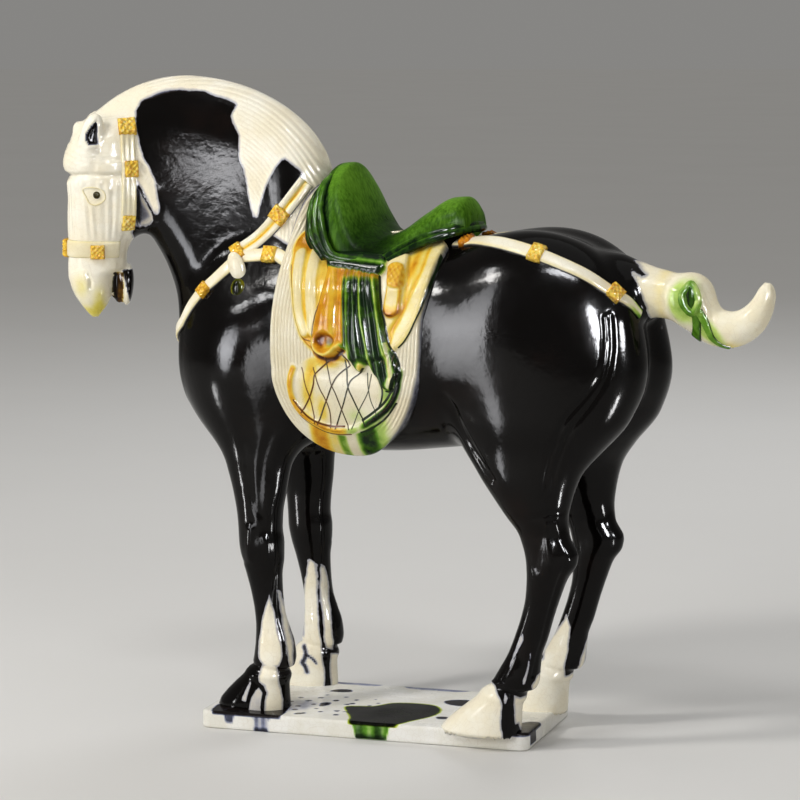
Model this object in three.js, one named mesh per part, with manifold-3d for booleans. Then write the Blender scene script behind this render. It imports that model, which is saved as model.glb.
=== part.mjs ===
// A saddled horse of lead-glazed earthenware on a slab plinth, fired in one piece.
// Millimetres, +Z up, the head towards -X. The origin is the middle of the plinth's underside.
import * as THREE from "three";
import Module from "manifold-3d";

const wasm = await Module();
wasm.setup();

// Driving sizes
const HORSE_HEIGHT = 356; // from the soles to the top of the crest
const HORSE_TURN = 8; // degrees that the figure stands turned on its plinth
const PLINTH_LENGTH = 192;
const PLINTH_WIDTH = 94;
const PLINTH_THICKNESS = 10;
const PLINTH_CORNER = 6; // radius of the upright corners
const PLINTH_EDGE = 2; // rounding of the top edge
const SOLE_SINK = 1; // how far the hooves are luted into the plinth

// The figure is drawn in parts, 356 of them to its height, with z = 0 at the soles
const PARTS = 356;
const PART_SIZE = HORSE_HEIGHT / PARTS;
const HEAD_TURN = 31; // degrees that the head looks to its left
const HEAD_AT = [-160, -30, 274];
const NECK_BEND = 24; // how far the neck leans to the left at the poll
const FRONT_STANCE = 33; // from the middle plane to a foreleg
const HIND_STANCE = 31;

const GRID_STEP = 3.5; // of the skin's sampling grid, in parts
const SKIN_TRIANGLES = 5000; // of the bare figure
const TRIANGLES = 9700; // of everything joined
const FAR_OFF = 24; // beyond this the distance to a form is only read off its box

const rad = THREE.MathUtils.degToRad;
const clamp = THREE.MathUtils.clamp;

// Monotone cubic through rows of numbers, the first of each being where the row stands
function track(rows) {
  const n = rows.length;
  const slopes = rows.map((row, i) =>
    row.map((_, c) => {
      if (i === 0 || i === n - 1) return 0;
      const before = (row[c] - rows[i - 1][c]) / (row[0] - rows[i - 1][0]);
      const after = (rows[i + 1][c] - row[c]) / (rows[i + 1][0] - row[0]);
      return before * after <= 0 ? 0 : (2 * before * after) / (before + after);
    }),
  );
  for (const end of [0, n - 1]) {
    const next = end ? end - 1 : 1;
    const run = rows[next][0] - rows[end][0];
    slopes[end] = rows[end].map((v, c) => (1.5 * (rows[next][c] - v)) / run - slopes[next][c] / 2);
  }
  return (at) => {
    const s = clamp(at, rows[0][0], rows[n - 1][0]);
    let i = 0;
    while (i < n - 2 && s > rows[i + 1][0]) i++;
    const run = rows[i + 1][0] - rows[i][0];
    const t = (s - rows[i][0]) / run;
    const t2 = t * t;
    const t3 = t2 * t;
    return rows[i].map(
      (v, c) =>
        v * (2 * t3 - 3 * t2 + 1) +
        slopes[i][c] * run * (t3 - 2 * t2 + t) +
        rows[i + 1][c] * (3 * t2 - 2 * t3) +
        slopes[i + 1][c] * run * (t3 - t2),
    );
  };
}

// The same, read from a table of fine steps
function quickTrack(rows, step = 0.5) {
  const exact = track(rows);
  const from = rows[0][0];
  const count = Math.ceil((rows.at(-1)[0] - from) / step) + 1;
  const table = Array.from({ length: count }, (_, i) => exact(from + i * step));
  return (at) => {
    const f = clamp((at - from) / step, 0, count - 1.001);
    const i = Math.floor(f);
    const t = f - i;
    return table[i].map((v, c) => v + (table[i + 1][c] - v) * t);
  };
}

// Fields: each gives the rough distance to a form, negative inside it
function ellipsoid([x, y, z], [a, b, c], tilt = 0) {
  const s = Math.sin(rad(tilt));
  const t = Math.cos(rad(tilt));
  return (px, py, pz) => {
    const u = t * (px - x) + s * (pz - z);
    const v = py - y;
    const w = t * (pz - z) - s * (px - x);
    const k0 = Math.hypot(u / a, v / b, w / c);
    const k1 = Math.hypot(u / (a * a), v / (b * b), w / (c * c));
    return k1 > 0 ? (k0 * (k0 - 1)) / k1 : -Math.min(a, b, c);
  };
}

// A flat section of half sizes a and b, rounder or squarer by its power
function section(u, v, a, b, power) {
  const pu = Math.abs(u) / a;
  const pv = Math.abs(v) / b;
  const rho = (pu ** power + pv ** power) ** (1 / power);
  if (rho < 0.05) return -Math.min(a, b);
  const slope = Math.hypot(pu ** (power - 1) / a, pv ** (power - 1) / b) * rho ** (1 - power);
  return (rho - 1) / slope;
}

// Skips a form's own sum where a point is well outside its box
function boxed(low, high, field) {
  return (x, y, z) => {
    const dx = Math.max(low[0] - x, x - high[0], 0);
    const dy = Math.max(low[1] - y, y - high[1], 0);
    const dz = Math.max(low[2] - z, z - high[2], 0);
    const off = Math.hypot(dx, dy, dz);
    return off > FAR_OFF ? off : field(x, y, z);
  };
}
const least = (rows, of) => Math.min(...rows.map(of));
const most = (rows, of) => Math.max(...rows.map(of));

const closeEnd = (side, over) =>
  over <= 0 ? side : side <= 0 ? Math.max(side, over) : Math.hypot(side, over);

// Rows of [z, front x, rear x, middle y, half width]
function column(rows, power = 2.2) {
  const at = quickTrack(rows);
  const low = rows[0][0];
  const high = rows.at(-1)[0];
  const form = (x, y, z) => {
    const [, front, rear, middle, half] = at(z);
    const side = section(x - (front + rear) / 2, y - middle, (rear - front) / 2, half, power);
    return closeEnd(side, Math.max(low - z, z - high));
  };
  const from = [least(rows, (r) => r[1]), least(rows, (r) => r[3] - r[4]), low];
  const to = [most(rows, (r) => r[2]), most(rows, (r) => r[3] + r[4]), high];
  return boxed(from, to, form);
}

// Rows of [x, bottom z, top z, half width]
function trunk(rows, power = 2.2) {
  const at = quickTrack(rows);
  const low = rows[0][0];
  const high = rows.at(-1)[0];
  const form = (x, y, z) => {
    const [, bottom, top, half] = at(x);
    const side = section(y, z - (bottom + top) / 2, half, (top - bottom) / 2, power);
    return closeEnd(side, Math.max(low - x, x - high));
  };
  const widest = most(rows, (r) => r[3]);
  return boxed([low, -widest, least(rows, (r) => r[1])], [high, widest, most(rows, (r) => r[2])], form);
}

// Rows of [x, y, z, radius] joined by tapering rods
function rods(rows) {
  return (x, y, z) => {
    let nearest = Infinity;
    for (let i = 1; i < rows.length; i++) {
      const [ax, ay, az, ar] = rows[i - 1];
      const [bx, by, bz, br] = rows[i];
      const dx = bx - ax;
      const dy = by - ay;
      const dz = bz - az;
      const along = ((x - ax) * dx + (y - ay) * dy + (z - az) * dz) / (dx * dx + dy * dy + dz * dz);
      const t = clamp(along, 0, 1);
      const d = Math.hypot(x - ax - dx * t, y - ay - dy * t, z - az - dz * t) - ar - (br - ar) * t;
      nearest = Math.min(nearest, d);
    }
    return nearest;
  };
}

// A side outline [x, z] puffed out to the half thickness that thick(z) gives, round for `round` inside the line
function puffed(points, round, thick) {
  const curve = new THREE.CatmullRomCurve3(
    points.map(([x, z]) => new THREE.Vector3(x, 0, z)),
    true,
    "centripetal",
  );
  const line = curve.getPoints(points.length * 5).slice(0, -1);
  const flat = (x, z) => {
    let nearest = Infinity;
    let inside = false;
    for (let i = 0, j = line.length - 1; i < line.length; j = i++) {
      const a = line[i];
      const b = line[j];
      const t = clamp(
        ((x - a.x) * (b.x - a.x) + (z - a.z) * (b.z - a.z)) / ((b.x - a.x) ** 2 + (b.z - a.z) ** 2 || 1),
        0,
        1,
      );
      nearest = Math.min(nearest, Math.hypot(x - a.x - (b.x - a.x) * t, z - a.z - (b.z - a.z) * t));
      if (a.z > z !== b.z > z && x < ((b.x - a.x) * (z - a.z)) / (b.z - a.z) + a.x) inside = !inside;
    }
    return inside ? -nearest : nearest;
  };
  return (x, y, z) => {
    const half = thick(z);
    const q = Math.max(flat(x, z) + round, 0) / round;
    const v = y / half;
    const k0 = Math.hypot(q, v);
    const k1 = Math.hypot(q / round, v / half);
    return k1 > 0 ? (k0 * (k0 - 1)) / k1 : -Math.min(round, half);
  };
}

const mirrored = (field) => (x, y, z) => field(x, -y, z);

// Joins fields one by one, each rounded into the rest over its own distance
function joined(list) {
  return (x, y, z) => {
    let all = Infinity;
    for (const [field, soft] of list) {
      const d = field(x, y, z);
      const h = all === Infinity ? 0 : Math.max(soft - Math.abs(all - d), 0) / soft;
      all = Math.min(all, d) - (h * h * soft) / 4;
    }
    return all;
  };
}

// Trunk: barrel, breast and quarters
const BARREL = [
  [-112, 166, 236, 28],
  [-85, 156, 258, 41],
  [-45, 148, 264, 45],
  [0, 147, 265, 46.5],
  [40, 151, 267, 46],
  [80, 158, 272, 44],
  [120, 172, 266, 36],
  [150, 190, 250, 22],
];
const trunkField = joined([
  [trunk(BARREL), 1],
  [ellipsoid([-78, 17, 190], [39.5, 30, 45]), 14],
  [ellipsoid([-78, -17, 190], [39.5, 30, 45]), 14],
  [ellipsoid([100, 17, 211], [59, 31, 63], 8), 12],
  [ellipsoid([100, -17, 211], [59, 31, 63], 8), 12],
]);

// Legs, as rows of [z, front x, rear x, out from the middle plane, half width]
const forelegRows = (y, forward) =>
  [
    [20, -69, -46, 0, 10],
    [25, -67.5, -45.5, 0, 9.6],
    [32, -66.5, -45, 0, 9.6],
    [40, -66, -46.5, 0, 8.8],
    [50, -66, -49, 0, 7.9],
    [65, -68.5, -50.5, 0, 8],
    [76, -71, -51, 0, 8.8],
    [88, -74, -50, 0, 10.4],
    [97, -75, -50.5, 0, 11],
    [107, -76, -50.5, 0, 10.6],
    [122, -79, -48.5, -1, 11],
    [138, -84.5, -46, -3, 13],
    [160, -93, -36, -7, 16],
    [185, -100, -30, -13, 17],
  ].map(([z, front, rear, out, half]) => [z, front - forward, rear - forward, y + Math.sign(y) * out, half]);
const hindlegRows = (y, back) =>
  [
    [20, 79, 104.5, 0, 10],
    [26, 80.5, 106, 0, 9.8],
    [33, 84, 107, 0, 9.8],
    [41, 88, 108, 0, 8.8],
    [52, 93, 111.5, 0, 7.8],
    [66, 97.5, 115.5, 0, 7.8],
    [78, 100, 119.5, 0, 8.4],
    [88, 100.5, 123.5, 0, 9.4],
    [96, 100, 128.5, 0, 9.8],
    [102, 98.5, 129, 0, 9.6],
    [111, 95.5, 125, 0, 9.6],
    [120, 88.5, 123.5, 0, 11.5],
    [130, 80.5, 125, -1, 14],
    [142, 71, 128.5, -3, 17],
    [156, 62, 137, -6, 20],
    [175, 58, 152, -9, 23],
    [198, 64, 159, -13, 22],
    [226, 78, 150, -17, 15],
  ].map(([z, front, rear, out, half]) => [z, front + back, rear + back, y + Math.sign(y) * out, half]);

// Hooves: sloped in front, upright behind
const hoofRows = (rows, y, shift) => rows.map(([z, front, rear, half]) => [z, front + shift, rear + shift, y, half]);
const FORE_HOOF = [
  [-SOLE_SINK, -89, -46.5, 14],
  [4, -86.5, -46.5, 13.6],
  [13, -78.5, -46.5, 12],
  [21, -71, -46.5, 10.2],
  [27, -66, -47, 8.5],
];
const HIND_HOOF = [
  [-SOLE_SINK, 49.5, 96, 14],
  [4, 53, 96.5, 13.8],
  [13, 63, 97, 12.2],
  [21, 72, 98.5, 10.6],
  [29, 80, 100, 8.5],
];
const FAR_FORE_SHIFT = 3; // the right foreleg stands this far forward of the left
const FAR_HIND_SHIFT = 2;

const legsField = joined([
  [column(forelegRows(-FRONT_STANCE, 0)), 4],
  [column(forelegRows(FRONT_STANCE, FAR_FORE_SHIFT)), 4],
  [column(hindlegRows(-HIND_STANCE, 0)), 4],
  [column(hindlegRows(HIND_STANCE, FAR_HIND_SHIFT)), 4],
]);
const hoovesField = joined([
  [column(hoofRows(FORE_HOOF, -FRONT_STANCE, 0)), 4],
  [column(hoofRows(FORE_HOOF, FRONT_STANCE, -FAR_FORE_SHIFT)), 4],
  [column(hoofRows(HIND_HOOF, -HIND_STANCE, 0)), 4],
  [column(hoofRows(HIND_HOOF, HIND_STANCE, FAR_HIND_SHIFT)), 4],
]);

// Neck with its mane: one arched mass
const NECK_OUTLINE = [
  [-144, 268],
  [-133, 250],
  [-126, 232],
  [-119, 210],
  [-108, 185],
  [-60, 180],
  [-5, 225],
  [-24, 262],
  [-33, 290],
  [-37, 309],
  [-46, 324],
  [-61, 337],
  [-80, 347],
  [-99, 353],
  [-124, 356],
  [-143, 353],
  [-160, 345],
  [-172, 334],
  [-178, 318],
  [-160, 290],
];
const neckThickness = track([
  [190, 34],
  [230, 29],
  [270, 24.5],
  [310, 21],
  [340, 18.5],
  [356, 17],
]);
const neckLine = puffed(NECK_OUTLINE, 30, (z) => neckThickness(z)[1]);
const neckLean = (x) => -NECK_BEND * clamp((-62 - x) / 108, 0, 1.3) ** 2;
const neckField = boxed([-179, -62, 180], [0, 34, 357], (x, y, z) => neckLine(x, y - neckLean(x), z));

// Head, in its own frame: z = 0 at the cheek's lower corner, the face towards -x
const HEAD_ROWS = [
  [-58.5, -10, -6, 0, 2],
  [-56, -13, -3, 0, 6],
  [-50, -17.8, 1, 0, 10.5],
  [-42, -22.8, 1.5, 0, 12.6],
  [-34, -25.2, 2.5, 0, 12.8],
  [-27, -25.4, 8, 0, 12.5],
  [-20, -25.4, 8.3, 0, 12.5],
  [-12, -25.3, 11, 0, 14],
  [0, -25.3, 19, 0, 16.5],
  [12, -25, 20, 0, 18.5],
  [21, -25.6, 19, 0, 19],
  [25, -24.4, 18, 0, 18.5],
  [32, -26.6, 17, 0, 18.5],
  [44, -23.5, 15, 0, 17],
  [52, -19, 13, 0, 14],
  [58, -13, 9, 0, 9],
];
const headShape = joined([
  [column(HEAD_ROWS, 2.4), 1],
  [ellipsoid([9, 0, 9], [18.5, 15.5, 18.5]), 5],
  [ellipsoid([5.6, 0, -39.5], [5.4, 8.5, 12.5], -4), 1.5],
]);
const turnedHead = (x, y, z) => {
  const s = Math.sin(rad(HEAD_TURN));
  const c = Math.cos(rad(HEAD_TURN));
  const dx = x - HEAD_AT[0];
  const dy = y - HEAD_AT[1];
  return [c * dx + s * dy, c * dy - s * dx, z - HEAD_AT[2]];
};
const headField = boxed([-188, -60, 215], [-130, -10, 333], (x, y, z) => headShape(...turnedHead(x, y, z)));

// Docked tail: a thick root, a bound knot and an upturned tip
const tailField = joined([
  [rods([[140, 0, 247, 15], [158, 0, 243, 13.2], [176, 0, 240, 12.4]]), 1],
  [ellipsoid([181, 0, 239.5], [13.6, 14, 14.6], -10), 3],
  [
    rods([
      [186, 0, 232, 10.5],
      [195, 0, 225.5, 10.2],
      [206, 0, 224.5, 9.8],
      [215, 0, 229, 8.6],
      [221, 0, 237, 6.6],
      [224, 0, 245.5, 4],
    ]),
    5,
  ],
]);

const bodyField = joined([
  [trunkField, 1],
  [neckField, 16],
  [headField, 7],
  [legsField, 14],
  [hoovesField, 5],
  [tailField, 8],
]);

// The skin where a field is zero: grid cubes are followed from one to the next along it,
// each cube is cut in six tetrahedra, and each of those by the surface
function skin(field, low, high, step) {
  const size = low.map((v, i) => Math.ceil((high[i] - v) / step) + 1);
  const values = new Float32Array(size[0] * size[1] * size[2]).fill(NaN);
  const at = (i, j, k) => (k * size[1] + j) * size[0] + i;
  const value = (i, j, k) => {
    const n = at(i, j, k);
    if (Number.isNaN(values[n])) values[n] = field(low[0] + i * step, low[1] + j * step, low[2] + k * step);
    return values[n] || -1e-6;
  };
  const seen = new Uint8Array(values.length);
  const cells = [];
  const visit = (cell) => {
    if (cell.some((v, c) => v < 0 || v >= size[c] - 1) || seen[at(...cell)]) return;
    seen[at(...cell)] = 1;
    let inside = 0;
    for (let c = 0; c < 8; c++) if (value(cell[0] + (c & 1), cell[1] + ((c >> 1) & 1), cell[2] + (c >> 2)) < 0) inside++;
    if (inside > 0 && inside < 8) cells.push(cell);
  };
  const middle = low.map((v) => Math.round(-v / step));
  for (let k = 0; k < size[2] - 1; k++) visit([middle[0], middle[1], k]);
  for (let n = 0; n < cells.length; n++)
    for (let c = 0; c < 3; c++)
      for (const way of [-1, 1]) visit(cells[n].map((v, i) => (i === c ? v + way : v)));
  const points = [];
  const faces = [];
  const made = new Map();
  const total = values.length;
  const cross = (p, q) => {
    const [a, b] = p.n < q.n ? [p, q] : [q, p];
    const key = a.n * total + b.n;
    let found = made.get(key);
    if (found === undefined) {
      const t = clamp(a.v / (a.v - b.v), 0.02, 0.98);
      found = points.length;
      points.push([0, 1, 2].map((c) => low[c] + (a.at[c] + (b.at[c] - a.at[c]) * t) * step));
      made.set(key, found);
    }
    return found;
  };
  const PATHS = [
    [1, 3],
    [3, 2],
    [2, 6],
    [6, 4],
    [4, 5],
    [5, 1],
  ];
  for (const [i, j, k] of cells) {
    const corner = [];
    for (let c = 0; c < 8; c++) {
      const here = [i + (c & 1), j + ((c >> 1) & 1), k + (c >> 2)];
      corner.push({ v: value(...here), at: here, n: at(...here) });
    }
    for (const [b, c] of PATHS) {
      const four = [corner[0], corner[b], corner[c], corner[7]];
      const ins = four.filter((p) => p.v < 0);
      const out = four.filter((p) => p.v >= 0);
      if (!ins.length || !out.length) continue;
      const rim =
        ins.length === 1
          ? out.map((p) => cross(ins[0], p))
          : out.length === 1
            ? ins.map((p) => cross(p, out[0]))
            : [cross(ins[0], out[0]), cross(ins[0], out[1]), cross(ins[1], out[1]), cross(ins[1], out[0])];
      for (let t = 2; t < rim.length; t++) {
        const face = [rim[0], rim[t - 1], rim[t]];
        const [p, q, r] = face.map((n) => points[n]);
        const u = q.map((v, n) => v - p[n]);
        const w = r.map((v, n) => v - p[n]);
        const normal = [u[1] * w[2] - u[2] * w[1], u[2] * w[0] - u[0] * w[2], u[0] * w[1] - u[1] * w[0]];
        const away = [0, 1, 2].map((c) => out[0].at[c] - ins[0].at[c]);
        const facing = normal[0] * away[0] + normal[1] * away[1] + normal[2] * away[2];
        faces.push(facing > 0 ? face : [face[0], face[2], face[1]]);
      }
    }
  }
  return { points, faces };
}

// Merges the edges of a closed mesh that change it least until few enough triangles are left
function thinned({ points, faces }, wanted) {
  const count = points.length;
  const at = new Float64Array(points.flat());
  const sums = new Float64Array(count * 10);
  const around = Array.from({ length: count }, () => []);
  const dead = new Uint8Array(faces.length);
  const plane = new Float64Array(4);
  const setPlane = (i, j, k) => {
    const ux = at[3 * j] - at[3 * i];
    const uy = at[3 * j + 1] - at[3 * i + 1];
    const uz = at[3 * j + 2] - at[3 * i + 2];
    const wx = at[3 * k] - at[3 * i];
    const wy = at[3 * k + 1] - at[3 * i + 1];
    const wz = at[3 * k + 2] - at[3 * i + 2];
    const nx = uy * wz - uz * wy;
    const ny = uz * wx - ux * wz;
    const nz = ux * wy - uy * wx;
    const size = Math.sqrt(nx * nx + ny * ny + nz * nz) || 1e-12;
    plane[0] = nx / size;
    plane[1] = ny / size;
    plane[2] = nz / size;
    plane[3] = size / 2;
  };
  faces.forEach((face, f) => {
    setPlane(...face);
    const [a, b, c, area] = plane;
    const d = -(a * at[3 * face[0]] + b * at[3 * face[0] + 1] + c * at[3 * face[0] + 2]);
    const terms = [a * a, a * b, a * c, a * d, b * b, b * c, b * d, c * c, c * d, d * d];
    for (const n of face) {
      around[n].push(f);
      for (let i = 0; i < 10; i++) sums[10 * n + i] += terms[i] * area;
    }
  });
  const q = new Float64Array(10);
  const error = (x, y, z) =>
    x * (q[0] * x + 2 * (q[1] * y + q[2] * z + q[3])) +
    y * (q[4] * y + 2 * (q[5] * z + q[6])) +
    z * (q[7] * z + 2 * q[8]) +
    q[9];
  // The best place for a merged point: where the planes of both ends meet, or else the better of three guesses
  const merge = (a, b) => {
    for (let i = 0; i < 10; i++) q[i] = sums[10 * a + i] + sums[10 * b + i];
    const ax = at[3 * a];
    const ay = at[3 * a + 1];
    const az = at[3 * a + 2];
    const bx = at[3 * b];
    const by = at[3 * b + 1];
    const bz = at[3 * b + 2];
    const length2 = (ax - bx) ** 2 + (ay - by) ** 2 + (az - bz) ** 2;
    const item = { cost: Infinity, x: 0, y: 0, z: 0, a, b, sa: stamp[a], sb: stamp[b] };
    const attempt = (x, y, z) => {
      const cost = Math.max(error(x, y, z), 0) + 1e-5 * length2;
      if (cost < item.cost) Object.assign(item, { cost, x, y, z });
    };
    attempt((ax + bx) / 2, (ay + by) / 2, (az + bz) / 2);
    const e1 = q[4] * q[7] - q[5] * q[5];
    const e2 = q[1] * q[7] - q[5] * q[2];
    const e3 = q[1] * q[5] - q[4] * q[2];
    const det = q[0] * e1 - q[1] * e2 + q[2] * e3;
    if (Math.abs(det) > 1e-4) {
      const f1 = q[6] * q[7] - q[5] * q[8];
      const f2 = q[6] * q[5] - q[4] * q[8];
      const f3 = q[1] * q[8] - q[6] * q[2];
      const x = -(q[3] * e1 - q[1] * f1 + q[2] * f2) / det;
      const y = -(q[0] * f1 - q[3] * e2 + q[2] * f3) / det;
      const z = -(q[0] * -f2 - q[1] * f3 + q[3] * e3) / det;
      if ((x - ax) ** 2 + (y - ay) ** 2 + (z - az) ** 2 < 9 * length2) attempt(x, y, z);
    }
    if (item.cost > 1e-3) {
      attempt(ax, ay, az);
      attempt(bx, by, bz);
    }
    return item;
  };
  const heap = [];
  const push = (item) => {
    let i = heap.push(item) - 1;
    while (i && heap[(i - 1) >> 1].cost > item.cost) {
      heap[i] = heap[(i - 1) >> 1];
      i = (i - 1) >> 1;
    }
    heap[i] = item;
  };
  const pop = () => {
    const top = heap[0];
    const last = heap.pop();
    let i = 0;
    while (heap.length) {
      let child = 2 * i + 1;
      if (child >= heap.length) break;
      if (child + 1 < heap.length && heap[child + 1].cost < heap[child].cost) child++;
      if (heap[child].cost >= last.cost) break;
      heap[i] = heap[child];
      i = child;
    }
    if (heap.length) heap[i] = last;
    return top;
  };
  const stamp = new Int32Array(count);
  const neighbours = (n) => {
    const ring = [];
    for (const f of around[n]) for (const m of faces[f]) if (m !== n && !ring.includes(m)) ring.push(m);
    return ring;
  };
  for (let n = 0; n < count; n++) for (const m of neighbours(n)) if (m > n) push(merge(n, m));
  // Whether the faces round n stay the right way out when it moves to the merged place
  const keeps = (n, other, item) => {
    const held = [at[3 * n], at[3 * n + 1], at[3 * n + 2]];
    for (const f of around[n]) {
      const face = faces[f];
      if (face.includes(other)) continue;
      setPlane(...face);
      const [nx, ny, nz] = plane;
      at.set([item.x, item.y, item.z], 3 * n);
      setPlane(...face);
      at.set(held, 3 * n);
      if (nx * plane[0] + ny * plane[1] + nz * plane[2] < 0.35 || plane[3] < 1e-4) return false;
    }
    return true;
  };
  let left = faces.length;
  while (left > wanted && heap.length) {
    const item = pop();
    const { a, b } = item;
    if (stamp[a] !== item.sa || stamp[b] !== item.sb) continue;
    const ring = neighbours(b);
    if (neighbours(a).filter((n) => ring.includes(n)).length !== 2) continue;
    if (!keeps(a, b, item) || !keeps(b, a, item)) continue;
    for (const f of around[b]) {
      if (!faces[f].includes(a)) {
        faces[f] = faces[f].map((n) => (n === b ? a : n));
        around[a].push(f);
        continue;
      }
      dead[f] = 1;
      left--;
    }
    for (const n of new Set([a, ...ring])) around[n] = around[n].filter((f) => !dead[f]);
    around[b] = [];
    at.set([item.x, item.y, item.z], 3 * a);
    for (let i = 0; i < 10; i++) sums[10 * a + i] += sums[10 * b + i];
    stamp[a]++;
    stamp[b] = -1;
    for (const m of neighbours(a)) push(merge(a, m));
  }
  const kept = points.map((_, n) => [at[3 * n], at[3 * n + 1], at[3 * n + 2]]);
  return { points: kept, faces: faces.filter((_, f) => !dead[f]) };
}

// Between plain meshes, manifold-3d solids and three.js geometries
function solidOf({ points, faces }) {
  return new wasm.Manifold(
    new wasm.Mesh({
      numProp: 3,
      vertProperties: new Float32Array(points.flat()),
      triVerts: new Uint32Array(faces.flat()),
    }),
  );
}

function geometryOf(solid) {
  const { vertProperties, triVerts } = solid.getMesh();
  const geometry = new THREE.BufferGeometry();
  geometry.setAttribute("position", new THREE.BufferAttribute(vertProperties, 3));
  geometry.setIndex(new THREE.BufferAttribute(triVerts, 1));
  geometry.computeVertexNormals();
  return geometry;
}

// A closed solid through rings of as many points each; a loop joins the last ring to the first
function loft(rings, loop = false) {
  const n = rings[0].length;
  const points = rings.flat();
  const faces = [];
  const last = loop ? rings.length : rings.length - 1;
  for (let r = 0; r < last; r++)
    for (let i = 0; i < n; i++) {
      const j = (i + 1) % n;
      const a = r * n;
      const b = ((r + 1) % rings.length) * n;
      faces.push([a + i, a + j, b + j], [a + i, b + j, b + i]);
    }
  if (!loop)
    for (const [r, flip] of [[0, true], [rings.length - 1, false]]) {
      const middle = points.length;
      points.push([0, 1, 2].map((c) => rings[r].reduce((sum, p) => sum + p[c], 0) / n));
      for (let i = 0; i < n; i++) {
        const pair = [r * n + i, r * n + ((i + 1) % n)];
        faces.push(flip ? [middle, pair[1], pair[0]] : [middle, ...pair]);
      }
    }
  let volume = 0;
  for (const [a, b, c] of faces) {
    const [p, q, r] = [points[a], points[b], points[c]];
    volume += p[0] * (q[1] * r[2] - q[2] * r[1]);
    volume += p[1] * (q[2] * r[0] - q[0] * r[2]);
    volume += p[2] * (q[0] * r[1] - q[1] * r[0]);
  }
  return solidOf({ points, faces: volume < 0 ? faces.map(([a, b, c]) => [a, c, b]) : faces });
}

const unit = (v) => v.map((c) => c / Math.hypot(...v));
const crossed = (a, b) => [a[1] * b[2] - a[2] * b[1], a[2] * b[0] - a[0] * b[2], a[0] * b[1] - a[1] * b[0]];
const moved = (p, ...steps) => p.map((c, i) => steps.reduce((sum, [v, by]) => sum + v[i] * by, c));

function slopeOf(field, p) {
  const e = 0.4;
  return unit(
    [0, 1, 2].map((c) => {
      const step = [0, 0, 0];
      step[c] = e;
      return field(...moved(p, [step, 1])) - field(...moved(p, [step, -1]));
    }),
  );
}

// The nearest place on a field's skin, and the way out of it there
function landed(field, guess) {
  let p = guess;
  for (let i = 0; i < 6; i++) p = moved(p, [slopeOf(field, p), -field(...p)]);
  return { p, out: slopeOf(field, p) };
}

// A strip laid over a field's skin along rough points; its section is a row of [across, height], in shares
const FLAT_STRIP = [[-0.5, -0.8], [-0.42, 1], [0.42, 1], [0.5, -0.8]];
const ROUND_STRIP = [[-0.5, -0.3], [-0.32, 0.7], [0, 1], [0.32, 0.7], [0.5, -0.3]];
function strip(field, guesses, width, rise, count, profile = FLAT_STRIP) {
  const curve = new THREE.CatmullRomCurve3(
    guesses.map((g) => new THREE.Vector3(...landed(field, g).p)),
    false,
    "centripetal",
  );
  const widths = [width].flat();
  const rings = [];
  for (let i = 0; i <= count; i++) {
    const { p, out } = landed(field, curve.getPointAt(i / count).toArray());
    const along = curve.getTangentAt(i / count).toArray();
    const across = unit(crossed(along, out));
    const wide = widths[0] + ((widths.at(-1) - widths[0]) * i) / count;
    rings.push(profile.map(([u, h]) => moved(p, [across, u * wide], [out, h * rise])));
  }
  return loft(rings);
}
const mirror = ([x, y, z]) => [x, -y, z];
const bothSides = (points, make) => [make(points), make(points.map(mirror))];

// A ball of half sizes [a, b, c]
function ball([x, y, z], [a, b, c], rounds = 8, levels = 5) {
  const rings = [];
  for (let j = 1; j < levels; j++) {
    const v = (Math.PI * j) / levels;
    const ring = [];
    for (let i = 0; i < rounds; i++) {
      const u = (2 * Math.PI * i) / rounds;
      ring.push([x + a * Math.sin(v) * Math.cos(u), y + b * Math.sin(v) * Math.sin(u), z + c * Math.cos(v)]);
    }
    rings.push(ring);
  }
  return loft(rings);
}

// How far out the flank stands at a place on it, and the cloth flap that hangs over it
const flank = (x, z) => {
  let inner = 0;
  let outer = 62;
  if (bodyField(x, -inner, z) > 0) return 0;
  for (let i = 0; i < 12; i++) {
    const y = (inner + outer) / 2;
    if (bodyField(x, -y, z) < 0) inner = y;
    else outer = y;
  }
  return inner;
};
const FLAP_RISE = 3;
const hangRows = track([
  [146, 24],
  [152, 33],
  [164, 40.5],
  [178, 44],
  [192, 46],
  [200, 40],
]);
const flapFace = (x, z) => Math.max(flank(x, z), z < 200 ? hangRows(z)[1] : 0) + FLAP_RISE;

// Cloth over the flank between a left and a right edge, in rows of [z, left x, right x]
function cloth(rows, rise, down, across) {
  const edges = track(rows);
  const from = rows[0][0];
  const to = rows.at(-1)[0];
  const grid = [];
  for (let r = 0; r <= down; r++) {
    const z = from + ((to - from) * r) / down;
    const [, left, right] = edges(z);
    const face = [];
    const back = [];
    for (let i = 0; i <= across; i++) {
      const x = left + ((right - left) * i) / across;
      const out = flapFace(x, z) + rise;
      const edge = i === 0 || i === across || r === 0 ? 1 : 0;
      face.push([x, -(out - 1.2 * edge), z]);
      back.unshift([x, -(out - 9), z + 2]);
    }
    grid.push([...face, ...back]);
  }
  const near = loft(grid);
  const far = loft(grid.map((ring) => ring.map(mirror)));
  return [near, far];
}
const FLAP = [
  [147, -15, 3],
  [151, -22, 10],
  [158, -32, 19],
  [168, -40.5, 30],
  [182, -47, 38.5],
  [198, -50, 42.5],
  [225, -50, 43],
  [250, -49.5, 47],
  [263, -48, 44],
  [270, -47, 0],
  [278, -45, -14],
  [287, -40, -24],
];
const PANEL = [
  [206, -24, 16],
  [216, -32, 26],
  [232, -39, 34],
  [246, -42, 40],
  [262, -43, 44],
  [266, -42, 40],
];

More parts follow.
